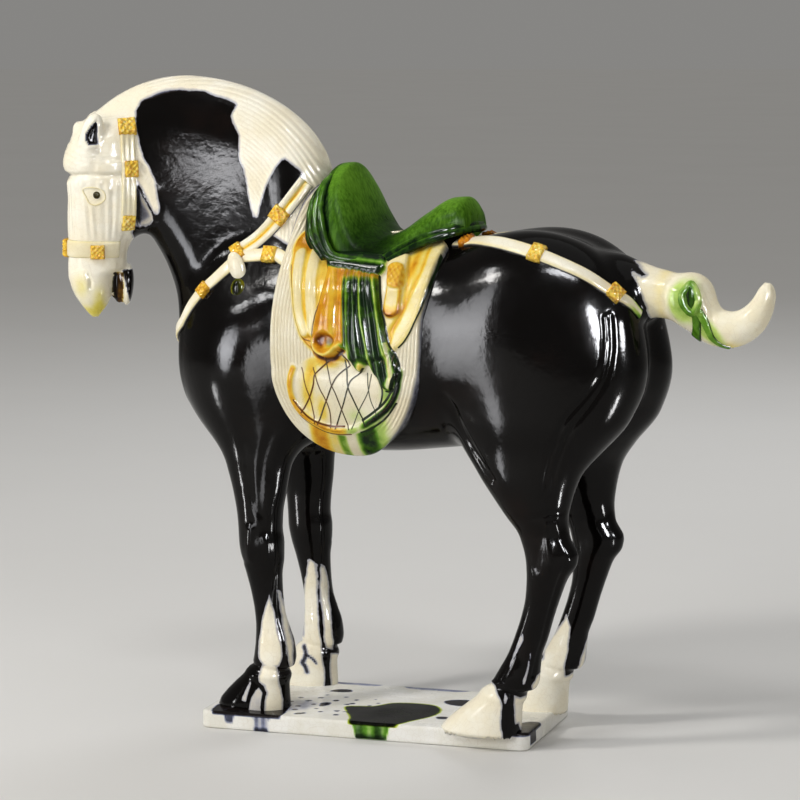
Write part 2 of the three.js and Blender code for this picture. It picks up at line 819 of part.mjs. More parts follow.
// Saddle: arches across the back in rows of [x, top z, lower edge z, half width there]
const SADDLE = [
  [-39.5, 284, 274, 22],
  [-37, 293, 265, 27],
  [-32, 302.5, 260, 30],
  [-26, 308, 257.5, 32.5],
  [-20, 308.5, 256, 34],
  [-15, 302, 255.5, 34.5],
  [-9, 288, 255, 35],
  [-2, 275, 255, 35],
  [7, 270, 255.5, 34.5],
  [16, 273, 257.5, 32.5],
  [30, 283, 264, 27],
  [43, 290.5, 271.5, 21.5],
  [50, 291, 274.5, 18],
  [54.5, 285, 276, 14.5],
];
const ARCH_POINTS = 10;
function arches(rows, wider, lower) {
  return loft(
    rows.map(([x, top, low, half], i) => {
      const end = i === 0 ? -wider / 2 : i === rows.length - 1 ? wider / 2 : 0;
      const ring = [];
      for (let k = 0; k <= ARCH_POINTS; k++) {
        const a = (Math.PI * k) / ARCH_POINTS;
        const rise = Math.sin(a) ** 0.85;
        ring.push([x + end, (half + wider) * Math.cos(a), low - lower + (top - low - wider / 3 + lower) * rise]);
      }
      ring.push([x + end, -(half + wider) * 0.8, low - lower - 3]);
      ring.push([x + end, -half * 0.6, low - lower - 14]);
      ring.push([x + end, half * 0.6, low - lower - 14]);
      ring.push([x + end, (half + wider) * 0.8, low - lower - 3]);
      return ring;
    }),
  );
}

// Swag: pleats gathered under the saddle, in rows of [top x, bottom x, bottom z, width]
const PLEATS = [
  [-19, -20, 204, 9],
  [-12.5, -12.5, 202, 7.5],
  [-7, -6.5, 200, 6.5],
  [-1.5, -0.5, 197, 7],
  [4, 7, 193, 7.5],
  [9.5, 14.5, 187, 8],
  [14, 22, 189, 9],
];
const flapSkin = (x, y, z) => Math.abs(y) - flapFace(x, z);
function pleats() {
  return PLEATS.flatMap(([top, bottom, low, width]) =>
    bothSides(
      [
        [top, -38, 251],
        [top * 0.6 + bottom * 0.4, -46, 230],
        [bottom, -48, low],
      ],
      (path) => strip(flapSkin, path, [6.4, width + 0.8], 5.5, 3, ROUND_STRIP),
    ),
  );
}

// Raised rim round the netted part of the flap
const RIM = [[-38, -46, 184], [-31, -44, 172], [-14, -41, 164], [4, -41, 166], [20, -44, 178], [31, -48, 196]];
const rim = () => bothSides(RIM, (p) => strip(flapSkin, p, 4.5, 1.6, 7));

// Harness on the trunk, as rough points near its skin
const BREAST_UPPER = [[-44, -15, 294], [-56, -23, 277], [-68, -26, 265], [-80, -29, 258]];
const BREAST_LOWER = [[-50, -38, 250], [-60, -34, 254], [-72, -30, 257]];
const BREAST_FRONT = [[-82, -30, 256], [-99, -36, 236], [-108, -38, 218], [-118, -24, 205], [-122, 0, 200]];
const CRUPPER = [[48, -10, 268], [76, -24, 269], [107, -32, 265], [136, -33, 253], [158, -25, 236], [164, -18, 228]];
const TRUNK_FITTINGS = [
  [[-60, -23, 274], [-67, -25, 267], 11],
  [[-81, -29, 258], [-88, -31, 252], 11],
  [[-65, -32, 256], [-73, -30, 256], 10],
  [[-98, -36, 238], [-102, -37, 231], 9],
  [[53, -14, 269], [60, -18, 269], 11],
  [[100, -32, 267], [109, -33, 264], 11],
  [[142, -32, 250], [150, -29, 244], 11],
];
const STRAP = 6.5;
const STRAP_RISE = 2.2;
function harness() {
  const made = [];
  for (const path of [BREAST_UPPER, BREAST_LOWER, BREAST_FRONT, CRUPPER])
    made.push(...bothSides(path, (p) => strip(bodyField, p, STRAP, STRAP_RISE, 5)));
  for (const [a, b, width] of TRUNK_FITTINGS)
    made.push(...bothSides([a, b], (p) => strip(bodyField, p, width, 4, 1)));
  for (const side of [-1, 1]) {
    made.push(ball([-78, side * 32, 249], [5.5, 4, 9]));
    made.push(ball([-75.5, side * 36.5, 237], [5, 4.5, 6.5]));
  }
  return made;
}
const curl = () => bothSides([[-17, -51, 205]], ([at]) => ball(at, [6.5, 4.5, 6.5]));
const hangingStrap = () => [
  ...bothSides([[21, -35, 256], [24, -44, 240], [27, -47, 226]], (p) => strip(flapSkin, p, [9.5, 7], 3.4, 4)),
  ...bothSides([[21.5, -40, 250], [24, -44, 240]], (p) => strip(flapSkin, p, 9.5, 5.4, 1)),
];

// The tie round the tail's knot
function tie() {
  const rings = [];
  for (let i = 0; i < 10; i++) {
    const a = (2 * Math.PI * i) / 10;
    const guess = [184 - 4 * Math.sin(a), 17 * Math.cos(a), 238 + 17 * Math.sin(a)];
    const { p, out } = landed(tailField, guess);
    rings.push([[-3, -1], [-1.6, 1.6], [1.6, 1.6], [3, -1]].map(([u, h]) => moved(p, [[1, 0, 0.25], u], [out, h])));
  }
  return loft(rings, true);
}

// Bridle, in the head's own frame
const CHEEK_STRAP = [[7, -12, 58], [10, -15.6, 29], [9, -15, -2]];
const NOSEBAND = [[1, -12, -18], [-9, -12.5, -19], [-20, -9, -18], [-26, 0, -18]];
const HEAD_FITTINGS = [
  [[8.5, -12, 60], [9, -13, 49], 11],
  [[10.3, -15, 34], [10.5, -15.6, 24], 9.5],
  [[9.5, -15, 4], [9.2, -15, -6], 9.5],
  [[-5, -12.5, -19], [-13, -12, -19], 8],
];
function bridle() {
  const made = [];
  made.push(...bothSides(CHEEK_STRAP, (p) => strip(headShape, p, 6.5, 1.8, 5)));
  made.push(...bothSides(NOSEBAND, (p) => strip(headShape, p, 5.5, 1.6, 4)));
  for (const [a, b, width] of HEAD_FITTINGS)
    made.push(...bothSides([a, b], (p) => strip(headShape, p, width, 3.2, 1)));
  made.push(strip(headShape, [[-26, -4, -18], [-26, 4, -18]], 9, 3.6, 1));
  for (const side of [-1, 1]) {
    made.push(ball([-9, side * 16.4, 15], [5.4, 3, 4.2]));
    made.push(ear(side));
  }
  return made.map((solid) => solid.rotate([0, 0, HEAD_TURN]).translate(HEAD_AT));
}

// An upright ear, hollowed to the side
function ear(side) {
  const rows = [
    [36, -13, 12.5, 6.5, 4.5],
    [43, -12.5, 14, 7, 4.5],
    [50, -12, 13, 5.6, 4],
    [56, -11.5, 11.5, 3, 2.6],
    [60, -11, 10.5, 0.8, 0.8],
  ];
  return loft(
    rows.map(([z, x, y, a, b]) => {
      const ring = [];
      for (let i = 0; i < 8; i++) {
        const u = (2 * Math.PI * i) / 8;
        const dent = i === 6 && a > 2 ? 0.1 : 1;
        ring.push([x + a * Math.cos(u), side * (y - b * Math.sin(u) * dent), z]);
      }
      return ring;
    }),
  );
}

// Slab plinth
function plinth() {
  const rings = [];
  const levels = [
    [0, 1],
    [1, 0],
    [PLINTH_THICKNESS - PLINTH_EDGE, 0],
    [PLINTH_THICKNESS - PLINTH_EDGE * 0.3, PLINTH_EDGE * 0.3],
    [PLINTH_THICKNESS, PLINTH_EDGE],
  ];
  for (const [z, inset] of levels) {
    const ring = [];
    for (const [sx, sy, from] of [[1, 1, 0], [-1, 1, 90], [-1, -1, 180], [1, -1, 270]])
      for (let k = 0; k <= 4; k++) {
        const a = rad(from + (k * 90) / 4);
        const x = sx * (PLINTH_LENGTH / 2 - PLINTH_CORNER) + (PLINTH_CORNER - inset) * Math.cos(a);
        const y = sy * (PLINTH_WIDTH / 2 - PLINTH_CORNER) + (PLINTH_CORNER - inset) * Math.sin(a);
        ring.push([x, y, z]);
      }
    rings.push(ring);
  }
  return loft(rings);
}

const meshOf = (solid) => {
  const { vertProperties: flat, triVerts: picks } = solid.getMesh();
  const points = Array.from({ length: flat.length / 3 }, (_, i) => Array.from(flat.slice(3 * i, 3 * i + 3)));
  const faces = Array.from({ length: picks.length / 3 }, (_, i) => Array.from(picks.slice(3 * i, 3 * i + 3)));
  return { points, faces };
};

// The largest shell of a mesh, without the small pockets left inside where pieces are joined
function outerShell({ points, faces }) {
  const group = points.map((_, i) => i);
  const find = (i) => {
    while (group[i] !== i) {
      group[i] = group[group[i]];
      i = group[i];
    }
    return i;
  };
  for (const [a, b, c] of faces) {
    group[find(b)] = find(a);
    group[find(c)] = find(a);
  }
  const sizes = new Map();
  for (const [a] of faces) sizes.set(find(a), (sizes.get(find(a)) ?? 0) + 1);
  const largest = [...sizes].sort((p, q) => q[1] - p[1])[0][0];
  return { points, faces: faces.filter(([a]) => find(a) === largest) };
}

const body = thinned(skin(bodyField, [-215, -72, -4], [236, 72, 364], GRID_STEP), SKIN_TRIANGLES);
const dressed = wasm.Manifold.union([
  solidOf(body),
  ...cloth(FLAP, 0, 10, 7),
  ...cloth(PANEL, 1.5, 4, 5),
  arches(SADDLE, 0, 0),
  arches(SADDLE, 3.5, 7),
  ...pleats(),
  ...rim(),
  ...curl(),
  tie(),
  ...hangingStrap(),
  ...harness(),
  ...bridle(),
]);
const standing = dressed
  .scale([PART_SIZE, PART_SIZE, PART_SIZE])
  .rotate([0, 0, -HORSE_TURN])
  .translate([0, 0, PLINTH_THICKNESS]);
const joinedUp = outerShell(meshOf(wasm.Manifold.union([standing, plinth()])));
const whole = solidOf(thinned(joinedUp, TRIANGLES));

const glaze = new THREE.MeshStandardMaterial({ color: 0x2a241c, roughness: 0.15, metalness: 0 });
const horse = new THREE.Mesh(geometryOf(whole), glaze);
horse.name = "tomb_horse";
const group = new THREE.Group();
group.add(horse);
export default group;
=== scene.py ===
# A saddled horse of lead-glazed earthenware on a slab plinth, dressed with its glazes and fine relief
import math

import bpy
import numpy as np
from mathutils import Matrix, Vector


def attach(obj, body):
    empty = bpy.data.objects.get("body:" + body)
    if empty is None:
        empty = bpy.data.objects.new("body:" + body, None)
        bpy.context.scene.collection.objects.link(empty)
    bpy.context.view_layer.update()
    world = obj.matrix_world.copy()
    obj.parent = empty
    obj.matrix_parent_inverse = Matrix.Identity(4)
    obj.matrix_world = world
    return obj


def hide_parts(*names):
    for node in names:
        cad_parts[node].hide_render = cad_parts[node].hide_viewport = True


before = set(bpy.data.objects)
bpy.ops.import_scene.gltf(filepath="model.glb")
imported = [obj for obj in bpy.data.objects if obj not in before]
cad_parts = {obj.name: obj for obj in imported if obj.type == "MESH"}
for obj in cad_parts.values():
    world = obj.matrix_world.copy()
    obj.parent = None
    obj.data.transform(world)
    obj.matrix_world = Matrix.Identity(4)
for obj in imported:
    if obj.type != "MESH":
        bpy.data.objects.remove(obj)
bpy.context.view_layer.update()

# The figure's own frame: 356 parts to its height, z = 0 at the soles, the head towards -x
HORSE_HEIGHT = 356.0
PARTS = 356.0
HORSE_TURN = 8.0
PLINTH_LENGTH = 192.0
PLINTH_WIDTH = 94.0
PLINTH_THICKNESS = 10.0
SOLE_SINK = 1.0
MM = 0.001
PART = HORSE_HEIGHT / PARTS * MM

HEAD_TURN = 31.0
HEAD_AT = np.array([-160.0, -30.0, 274.0])
NECK_BEND = 24.0
FRONT_STANCE = 33.0
HIND_STANCE = 31.0
FAR_FORE_SHIFT = 3.0
FAR_HIND_SHIFT = 2.0

GRID_STEP = 2.2
COARSE_STEP = 6.0
FAR_OFF = 24.0


# Camera at the photograph's angle
CAMERA_AROUND = math.radians(17.6)
CAMERA_ABOVE = math.radians(7.4)
CAMERA_FAR = 1.70
CAMERA_AIM = Vector((0.008, 0.0, 0.1853))
CAMERA_LENS = 135.9
SENSOR_WIDTH = 36.0
CLIP_NEAR = 0.05
CLIP_FAR = 20.0


def facing(around, above):
    """The way out to what stands at one angle round from the near side and another one up."""
    level = math.cos(above)
    return Vector((math.sin(around) * level, -math.cos(around) * level, math.sin(above)))


def make_camera():
    data = bpy.data.cameras.new("camera")
    data.lens = CAMERA_LENS
    data.sensor_width = SENSOR_WIDTH
    data.sensor_fit = "HORIZONTAL"
    data.clip_start = CLIP_NEAR
    data.clip_end = CLIP_FAR
    camera = bpy.data.objects.new("camera", data)
    back = facing(CAMERA_AROUND, CAMERA_ABOVE)
    camera.location = CAMERA_AIM + back * CAMERA_FAR
    camera.rotation_euler = back.to_track_quat("Z", "Y").to_euler()
    bpy.context.collection.objects.link(camera)
    bpy.context.scene.camera = camera


make_camera()


# Curves and fields, for many points at once
ENDLESS = 1e9
TINY = 1e-9
LEAST = 1e-6
NO_LENGTH = 1e-12


def track(rows, fine=0.25):
    """Monotone cubic through rows of numbers, the first of each being where the row stands."""
    rows = np.array(rows, float)
    at = rows[:, 0]
    rise = np.diff(rows, axis=0) / np.diff(at)[:, None]
    slopes = np.zeros_like(rows)
    product = rise[:-1] * rise[1:]
    total = rise[:-1] + rise[1:]
    slopes[1:-1] = np.where(product > 0, 2 * product / np.where(total == 0, 1, total), 0)
    slopes[0] = 1.5 * rise[0] - slopes[1] / 2
    slopes[-1] = 1.5 * rise[-1] - slopes[-2] / 2
    places = np.linspace(at[0], at[-1], int((at[-1] - at[0]) / fine) + 2)
    i = np.clip(np.searchsorted(at, places, side="right") - 1, 0, len(at) - 2)
    run = (at[i + 1] - at[i])[:, None]
    t = ((places - at[i])[:, None]) / run
    table = rows[i] * (2 * t**3 - 3 * t**2 + 1) + slopes[i] * run * (t**3 - 2 * t**2 + t)
    table += rows[i + 1] * (3 * t**2 - 2 * t**3) + slopes[i + 1] * run * (t**3 - t**2)
    return lambda s, number: np.interp(s, places, table[:, number])


def rotated(x, z, degrees):
    s, c = math.sin(math.radians(degrees)), math.cos(math.radians(degrees))
    return c * x + s * z, c * z - s * x


def from_middle(k0, k1, middle):
    """Distance from a form's value and how fast that grows, or the middle's where it doesn't grow."""
    return np.where(k1 > TINY, k0 * (k0 - 1) / np.maximum(k1, TINY), middle)


def ellipsoid(centre, half, tilt=0.0):
    a, b, c = half

    def field(x, y, z):
        u, w = rotated(x - centre[0], z - centre[2], tilt)
        v = y - centre[1]
        k0 = np.sqrt((u / a) ** 2 + (v / b) ** 2 + (w / c) ** 2)
        k1 = np.sqrt((u / a**2) ** 2 + (v / b**2) ** 2 + (w / c**2) ** 2)
        return from_middle(k0, k1, -min(half))

    return field


def both_sides(centre, half, tilt, soft):
    """One ellipsoid on the far side and its like on the near side, with how softly they join."""
    x, y, z = centre
    return [(ellipsoid((x, side * y, z), half, tilt), soft) for side in (1, -1)]


# Nearer its middle than this share of its size, a section doesn't tell which way is out
SECTION_CORE = 0.05


def section(u, v, a, b, power):
    """Distance to a flat section of half sizes a and b, rounder or squarer by its power."""
    pu = np.abs(u) / a
    pv = np.abs(v) / b
    rho = np.maximum((pu**power + pv**power) ** (1 / power), SECTION_CORE)
    growth = np.hypot(pu ** (power - 1) / a, pv ** (power - 1) / b) * rho ** (1 - power)
    return np.where(rho > SECTION_CORE, (rho - 1) / np.maximum(growth, LEAST), -np.minimum(a, b))


def close_end(side, over):
    return np.where(over <= 0, side, np.where(side <= 0, np.maximum(side, over), np.hypot(side, over)))


def boxed(low, high, form):
    """Skips a form's own sum where a point is well outside its box."""

    def field(x, y, z):
        dx = np.maximum(np.maximum(low[0] - x, x - high[0]), 0)
        dy = np.maximum(np.maximum(low[1] - y, y - high[1]), 0)
        dz = np.maximum(np.maximum(low[2] - z, z - high[2]), 0)
        off = np.sqrt(dx**2 + dy**2 + dz**2)
        near = off <= FAR_OFF
        if near.any():
            off[near] = form(x[near], y[near], z[near])
        return off

    return field


def column(rows, power=2.2):
    """Rows of (z, front x, rear x, middle y, half width)."""
    at = track(rows)
    table = np.array(rows, float)
    low, high = table[0, 0], table[-1, 0]

    def form(x, y, z):
        front, rear, middle, half = (at(z, c) for c in range(1, 5))
        side = section(x - (front + rear) / 2, y - middle, (rear - front) / 2, half, power)
        return close_end(side, np.maximum(low - z, z - high))

    start = (table[:, 1].min(), (table[:, 3] - table[:, 4]).min(), low)
    stop = (table[:, 2].max(), (table[:, 3] + table[:, 4]).max(), high)
    return boxed(start, stop, form)


def trunk(rows, power=2.2):
    """Rows of (x, bottom z, top z, half width)."""
    at = track(rows)
    table = np.array(rows, float)
    low, high = table[0, 0], table[-1, 0]

    def form(x, y, z):
        bottom, top, half = (at(x, c) for c in range(1, 4))
        side = section(y, z - (bottom + top) / 2, half, (top - bottom) / 2, power)
        return close_end(side, np.maximum(low - x, x - high))

    widest = table[:, 3].max()
    return boxed((low, -widest, table[:, 1].min()), (high, widest, table[:, 2].max()), form)


def rods(rows):
    """Rows of (x, y, z, radius) joined by tapering rods."""

    def field(x, y, z):
        nearest = np.full(x.shape, ENDLESS)
        for (ax, ay, az, ar), (bx, by, bz, br) in zip(rows, rows[1:]):
            dx, dy, dz = bx - ax, by - ay, bz - az
            share = ((x - ax) * dx + (y - ay) * dy + (z - az) * dz) / (dx * dx + dy * dy + dz * dz)
            t = np.clip(share, 0, 1)
            d = np.sqrt((x - ax - dx * t) ** 2 + (y - ay - dy * t) ** 2 + (z - az - dz * t) ** 2)
            nearest = np.minimum(nearest, d - ar - (br - ar) * t)
        return nearest

    return field


def blend(p, q, s, low, high):
    return (p * (high - s) + q * (s - low)) / (high - low)


def curve(points, closed=False, per_side=6):
    """A centripetal Catmull-Rom curve through points, as a fine row of points."""
    points = np.array(points, float)
    if closed:
        padded = np.concatenate([points[-1:], points, points[:2]])
    else:
        padded = np.concatenate([2 * points[:1] - points[1:2], points, 2 * points[-1:] - points[-2:-1]])
    fine = []
    for p0, p1, p2, p3 in zip(padded, padded[1:], padded[2:], padded[3:]):
        spans = [max(np.linalg.norm(b - a), LEAST) ** 0.5 for a, b in ((p0, p1), (p1, p2), (p2, p3))]
        knots = np.cumsum([0.0] + spans)
        s = np.linspace(knots[1], knots[2], per_side, endpoint=False)[:, None]
        a1 = blend(p0, p1, s, knots[0], knots[1])
        a2 = blend(p1, p2, s, knots[1], knots[2])
        a3 = blend(p2, p3, s, knots[2], knots[3])
        b1 = blend(a1, a2, s, knots[0], knots[2])
        b2 = blend(a2, a3, s, knots[1], knots[3])
        fine.append(blend(b1, b2, s, knots[1], knots[2]))
    fine = np.concatenate(fine)
    return fine if closed else np.concatenate([fine, points[-1:]])


def loop_distance(line, u, v):
    """Signed distance to a closed flat line, negative inside."""
    nearest = np.full(u.shape, ENDLESS)
    within = np.zeros(u.shape, bool)
    for (au, av), (bu, bv) in zip(np.roll(line, 1, axis=0), line):
        du, dv = bu - au, bv - av
        t = np.clip(((u - au) * du + (v - av) * dv) / (du * du + dv * dv + NO_LENGTH), 0, 1)
        nearest = np.minimum(nearest, np.hypot(u - au - du * t, v - av - dv * t))
        if av != bv:
            crossing = (av > v) != (bv > v)
            within ^= crossing & (u < du * (v - av) / dv + au)
    return np.where(within, -nearest, nearest)


def puffed(points, round_in, thick):
    """A side outline (x, z) puffed out to a half thickness, rounded off inside the line."""
    line = curve(points, closed=True, per_side=5)

    def field(x, y, z):
        half = thick(z)
        q = np.maximum(loop_distance(line, x, z) + round_in, 0) / round_in
        v = y / half
        return from_middle(np.hypot(q, v), np.hypot(q / round_in, v / half), -round_in)

    return field


def joined(parts):
    """Joins fields one by one, each rounded into the rest over its own distance."""

    def field(x, y, z):
        total = None
        for part, soft in parts:
            d = part(x, y, z)
            if total is None:
                total = d
                continue
            h = np.maximum(soft - np.abs(total - d), 0) / soft
            total = np.minimum(total, d) - h * h * soft / 4
        return total

    return field


# The figure's forms
BARREL = [
    (-112, 166, 236, 28),
    (-85, 156, 258, 41),
    (-45, 148, 264, 45),
    (0, 147, 265, 46.5),
    (40, 151, 267, 46),
    (80, 158, 272, 44),
    (120, 172, 266, 36),
    (150, 190, 250, 22),
]
trunk_field = joined([
    (trunk(BARREL), 1),
    *both_sides((-78, 17, 190), (39.5, 30, 45), 0, 14),
    *both_sides((100, 17, 211), (59, 31, 63), 8, 12),
])

FORELEG = [
    (19, -69.5, -47.5, 0, 10),
    (22, -69, -46.5, 0, 9.4),
    (25, -67.5, -43, 0, 9.6),
    (30, -66.5, -42, 0, 9.9),
    (38, -65.5, -43, 0, 9.4),
    (46, -65.3, -45.8, 0, 8.4),
    (55, -66, -48.8, 0, 7.9),
    (65, -68, -50, 0, 8),
    (76, -71, -50.5, 0, 8.8),
    (86, -74, -49.5, 0, 10.2),
    (94, -75.5, -49.5, 0, 11),
    (103, -76, -50.5, 0, 10.8),
    (112, -77, -50, 0, 10.6),
    (124, -80, -48, -1, 11.3),
    (138, -85, -46, -3, 13),
    (160, -93, -36, -7, 16),
    (185, -100, -30, -13, 17),
]
HINDLEG = [
    (19, 77, 97.5, 0, 10),
    (22, 78, 99.5, 0, 9.6),
    (25, 79, 104.5, 0, 9.8),
    (30, 81.5, 107, 0, 10),
    (36, 85, 107.5, 0, 9.5),
    (44, 89.5, 108.5, 0, 8.4),
    (54, 93.5, 112, 0, 7.8),
    (66, 97.5, 115.5, 0, 7.8),
    (78, 100, 119.5, 0, 8.4),
    (88, 100.5, 123.5, 0, 9.4),
    (96, 100, 128.8, 0, 9.8),
    (101, 99, 129.5, 0, 9.7),
    (111, 95.5, 124.5, 0, 9.6),
    (120, 88.5, 123.5, 0, 11.5),
    (130, 80.5, 125, -1, 14),
    (142, 71, 128.5, -3, 17),
    (156, 62, 137, -6, 20),
    (175, 58, 152, -9, 23),
    (198, 64, 159, -13, 22),
    (226, 78, 150, -17, 15),
]
FORE_HOOF = [
    (-SOLE_SINK, -89.5, -46, 14.2),
    (3, -88, -46, 13.9),
    (8, -84, -46.3, 13),
    (14, -78, -46.5, 12),
    (19, -72.5, -46, 11),
    (22.5, -69, -46.5, 9.8),
    (26, -66, -48, 8.5),
]
HIND_HOOF = [
    (-SOLE_SINK, 49, 96, 14.4),
    (3, 52, 96.3, 14),
    (9, 58.5, 96.5, 13.2),
    (15, 66, 97, 12.4),
    (20, 72, 97.5, 11.4),
    (24, 76, 98.5, 9.8),
    (28, 80, 99.5, 8.5),
]


def leg(rows, y, shift):
    side = math.copysign(1.0, y)
    return column([
        (z, front + shift, rear + shift, y + side * out, half) for z, front, rear, out, half in rows
    ])


def hoof(rows, y, shift):
    return column([(z, front + shift, rear + shift, y, half) for z, front, rear, half in rows])


STANDS = [
    # rows of the leg and of its hoof, middle y, and how far it stands along
    (FORELEG, FORE_HOOF, -FRONT_STANCE, 0),
    (FORELEG, FORE_HOOF, FRONT_STANCE, -FAR_FORE_SHIFT),
    (HINDLEG, HIND_HOOF, -HIND_STANCE, 0),
    (HINDLEG, HIND_HOOF, HIND_STANCE, FAR_HIND_SHIFT),
]
legs_field = joined([(leg(rows, y, shift), 4) for rows, _, y, shift in STANDS])
hooves_field = joined([(hoof(rows, y, shift), 4) for _, rows, y, shift in STANDS])

NECK_OUTLINE = [
    (-144, 268), (-133, 250), (-126, 232), (-119, 210), (-108, 185), (-60, 180), (-5, 225),
    (-24, 262), (-33, 290), (-37, 309), (-46, 324), (-61, 337), (-80, 347), (-99, 353),
    (-124, 356), (-143, 353), (-160, 345), (-172, 334), (-178, 318), (-160, 290),
]
neck_thickness = track([(190, 34), (230, 29), (270, 24.5), (310, 21), (340, 18.5), (356, 17)])


def neck_lean(x):
    return -NECK_BEND * np.clip((-62 - x) / 108, 0, 1.3) ** 2


neck_line = puffed(NECK_OUTLINE, 30, lambda z: neck_thickness(z, 1))
neck_field = boxed((-179, -62, 180), (0, 34, 357), lambda x, y, z: neck_line(x, y - neck_lean(x), z))

HEAD_ROWS = [
    (-55.6, -12.4, -8.4, 0, 2),
    (-53.4, -14.6, -6.8, 0, 5.6),
    (-48.5, -18.4, -3.2, 0, 9.6),
    (-43, -22, -0.9, 0, 11.8),
    (-37, -24.4, -0.3, 0, 12.6),
    (-31, -25.6, 1.2, 0, 12.7),
    (-27, -25.6, 8, 0, 12.5),
    (-20, -25.4, 8.3, 0, 12.5),
    (-12, -25.3, 11, 0, 14),
    (0, -25.3, 19, 0, 16.5),
    (12, -25, 20, 0, 18.5),
    (21, -25.6, 19, 0, 19),
    (25, -24.4, 18, 0, 18.5),
    (32, -26.6, 17, 0, 18.5),
    (44, -23.5, 15, 0, 17),
    (52, -19, 13, 0, 14),
    (58, -13, 9, 0, 9),
]
head_shape = joined([
    (column(HEAD_ROWS, 2.4), 1),
    (ellipsoid((9, 0, 9), (18.5, 15.5, 18.5)), 5),
    (ellipsoid((3.5, 0, -36), (4.5, 6.2, 12)), 1.0),
    (ellipsoid((8.3, 0, -37.4), (3.5, 8, 12), -4), 1.5),
    *both_sides((-11.2, 14.4, 49), (6.2, 3.8, 12.4), -16, 3),
    (ellipsoid((-17.4, 0.5, 50.5), (4.2, 5, 5.6), 20), 3),
])


HEAD_SIN = math.sin(math.radians(HEAD_TURN))
HEAD_COS = math.cos(math.radians(HEAD_TURN))


def to_head(x, y, z):
    dx, dy = x - HEAD_AT[0], y - HEAD_AT[1]
    return HEAD_COS * dx + HEAD_SIN * dy, HEAD_COS * dy - HEAD_SIN * dx, z - HEAD_AT[2]


def from_head(points):
    x, y, z = np.asarray(points, float).T
    return np.stack([HEAD_COS * x - HEAD_SIN * y, HEAD_SIN * x + HEAD_COS * y, z], axis=1) + HEAD_AT


head_field = boxed((-188, -60, 215), (-130, -10, 333), lambda x, y, z: head_shape(*to_head(x, y, z)))

TAIL_TIP = [
    (186, 0, 232, 10.5), (195, 0, 225.5, 10.2), (206, 0, 224.5, 9.6), (215, 0, 229, 8.4), (221, 0, 237, 6.6),
    (223.6, 0, 244.5, 4.8), (224, 0, 248, 2.6),
]
tail_field = joined([
    (rods([(140, 0, 247, 15), (158, 0, 243, 13.2), (176, 0, 240, 12.4)]), 1),
    (ellipsoid((181, 0, 239.5), (13.6, 14, 14.6), -10), 3),
    (rods(curve(TAIL_TIP, per_side=4)), 5),
])

body_field = joined([
    (trunk_field, 1),
    (neck_field, 16),
    (head_field, 7),
    (legs_field, 14),
    (hooves_field, 3),
    (tail_field, 8),
])


# Skin of a field
def sampled(field, low, size, step):
    """A field on a grid: coarse everywhere, fine only near its skin."""
    ratio = int(round(COARSE_STEP / step))
    coarse = step * ratio
    rough = [int(math.ceil(n / ratio)) + 1 for n in size]
    cx, cy, cz = np.meshgrid(*[low[a] + coarse * np.arange(rough[a]) for a in range(3)], indexing="ij")
    guess = field(cx.ravel(), cy.ravel(), cz.ravel()).reshape(rough)
    near = np.abs(guess) < coarse * 2.0
    for axis in range(3):
        near |= np.roll(near, 1, axis) | np.roll(near, -1, axis)
    index = [np.minimum((np.arange(n) + ratio // 2) // ratio, r - 1) for n, r in zip(size, rough)]
    values = guess[np.ix_(*index)].astype(np.float32)
    i, j, k = np.nonzero(near[np.ix_(*index)])
    values[i, j, k] = field(low[0] + i * step, low[1] + j * step, low[2] + k * step)
    return values


CORNERS = [(c & 1, (c >> 1) & 1, c >> 2) for c in range(8)]


def crossed_middles(corner):
    """Within each cell, the mean of the places where its edges cross the skin."""
    total = np.zeros((len(corner), 3))
    crossings = np.zeros(len(corner))
    for a in range(8):
        for axis in range(3):
            b = a | (1 << axis)
            if a == b:
                continue
            va, vb = corner[:, a], corner[:, b]
            cut = (va < 0) != (vb < 0)
            t = np.where(cut, va / np.where(cut, va - vb, 1), 0)
            total += cut[:, None] * (np.array(CORNERS[a], float) + t[:, None] * np.eye(3)[axis])
            crossings += cut
    return total / crossings[:, None]


def faces_across(solid, number, axis):
    """Faces round the grid lines along an axis that pass through the skin."""
    size = solid.shape
    u, v = (axis + 1) % 3, (axis + 2) % 3
    first = np.take(solid, np.arange(size[axis] - 1), axis)
    second = np.take(solid, np.arange(1, size[axis]), axis)
    edge = np.stack(np.nonzero(first != second), axis=1)
    for side in (u, v):
        edge = edge[(edge[:, side] > 0) & (edge[:, side] < size[side] - 1)]
    ring = []
    for du, dv in ((1, 1), (0, 1), (0, 0), (1, 0)):
        cell = edge.copy()
        cell[:, u] -= du
        cell[:, v] -= dv
        ring.append(number[tuple(cell.T)])
    face = np.stack(ring, axis=1)
    outward = first[tuple(edge.T)]
    face[~outward] = face[~outward][:, ::-1]
    return face


def skin(field, low, high, step):
    """Points and four-sided faces where a field is zero."""
    size = [int(math.ceil((h - l) / step)) + 1 for l, h in zip(low, high)]
    values = sampled(field, low, size, step)
    solid = values < 0
    count = np.zeros([n - 1 for n in size], np.int8)
    for corner in CORNERS:
        count += solid[tuple(slice(s, s + n - 1) for s, n in zip(corner, size))]
    cells = np.stack(np.nonzero((count > 0) & (count < 8)), axis=1)
    at_corners = np.stack([values[tuple((cells + corner).T)] for corner in CORNERS], axis=1)
    points = np.array(low) + (cells + crossed_middles(at_corners)) * step
    number = np.full([n - 1 for n in size], -1, np.int64)
    number[tuple(cells.T)] = np.arange(len(cells))
    return points, np.concatenate([faces_across(solid, number, axis) for axis in range(3)])


def slope(field, p, e=0.3):
    """The way out of a field at points."""
    g = np.empty_like(p)
    for c in range(3):
        step = np.zeros(3)
        step[c] = e
        g[:, c] = field(*(p + step).T) - field(*(p - step).T)
    return g / np.maximum(np.linalg.norm(g, axis=1), TINY)[:, None]


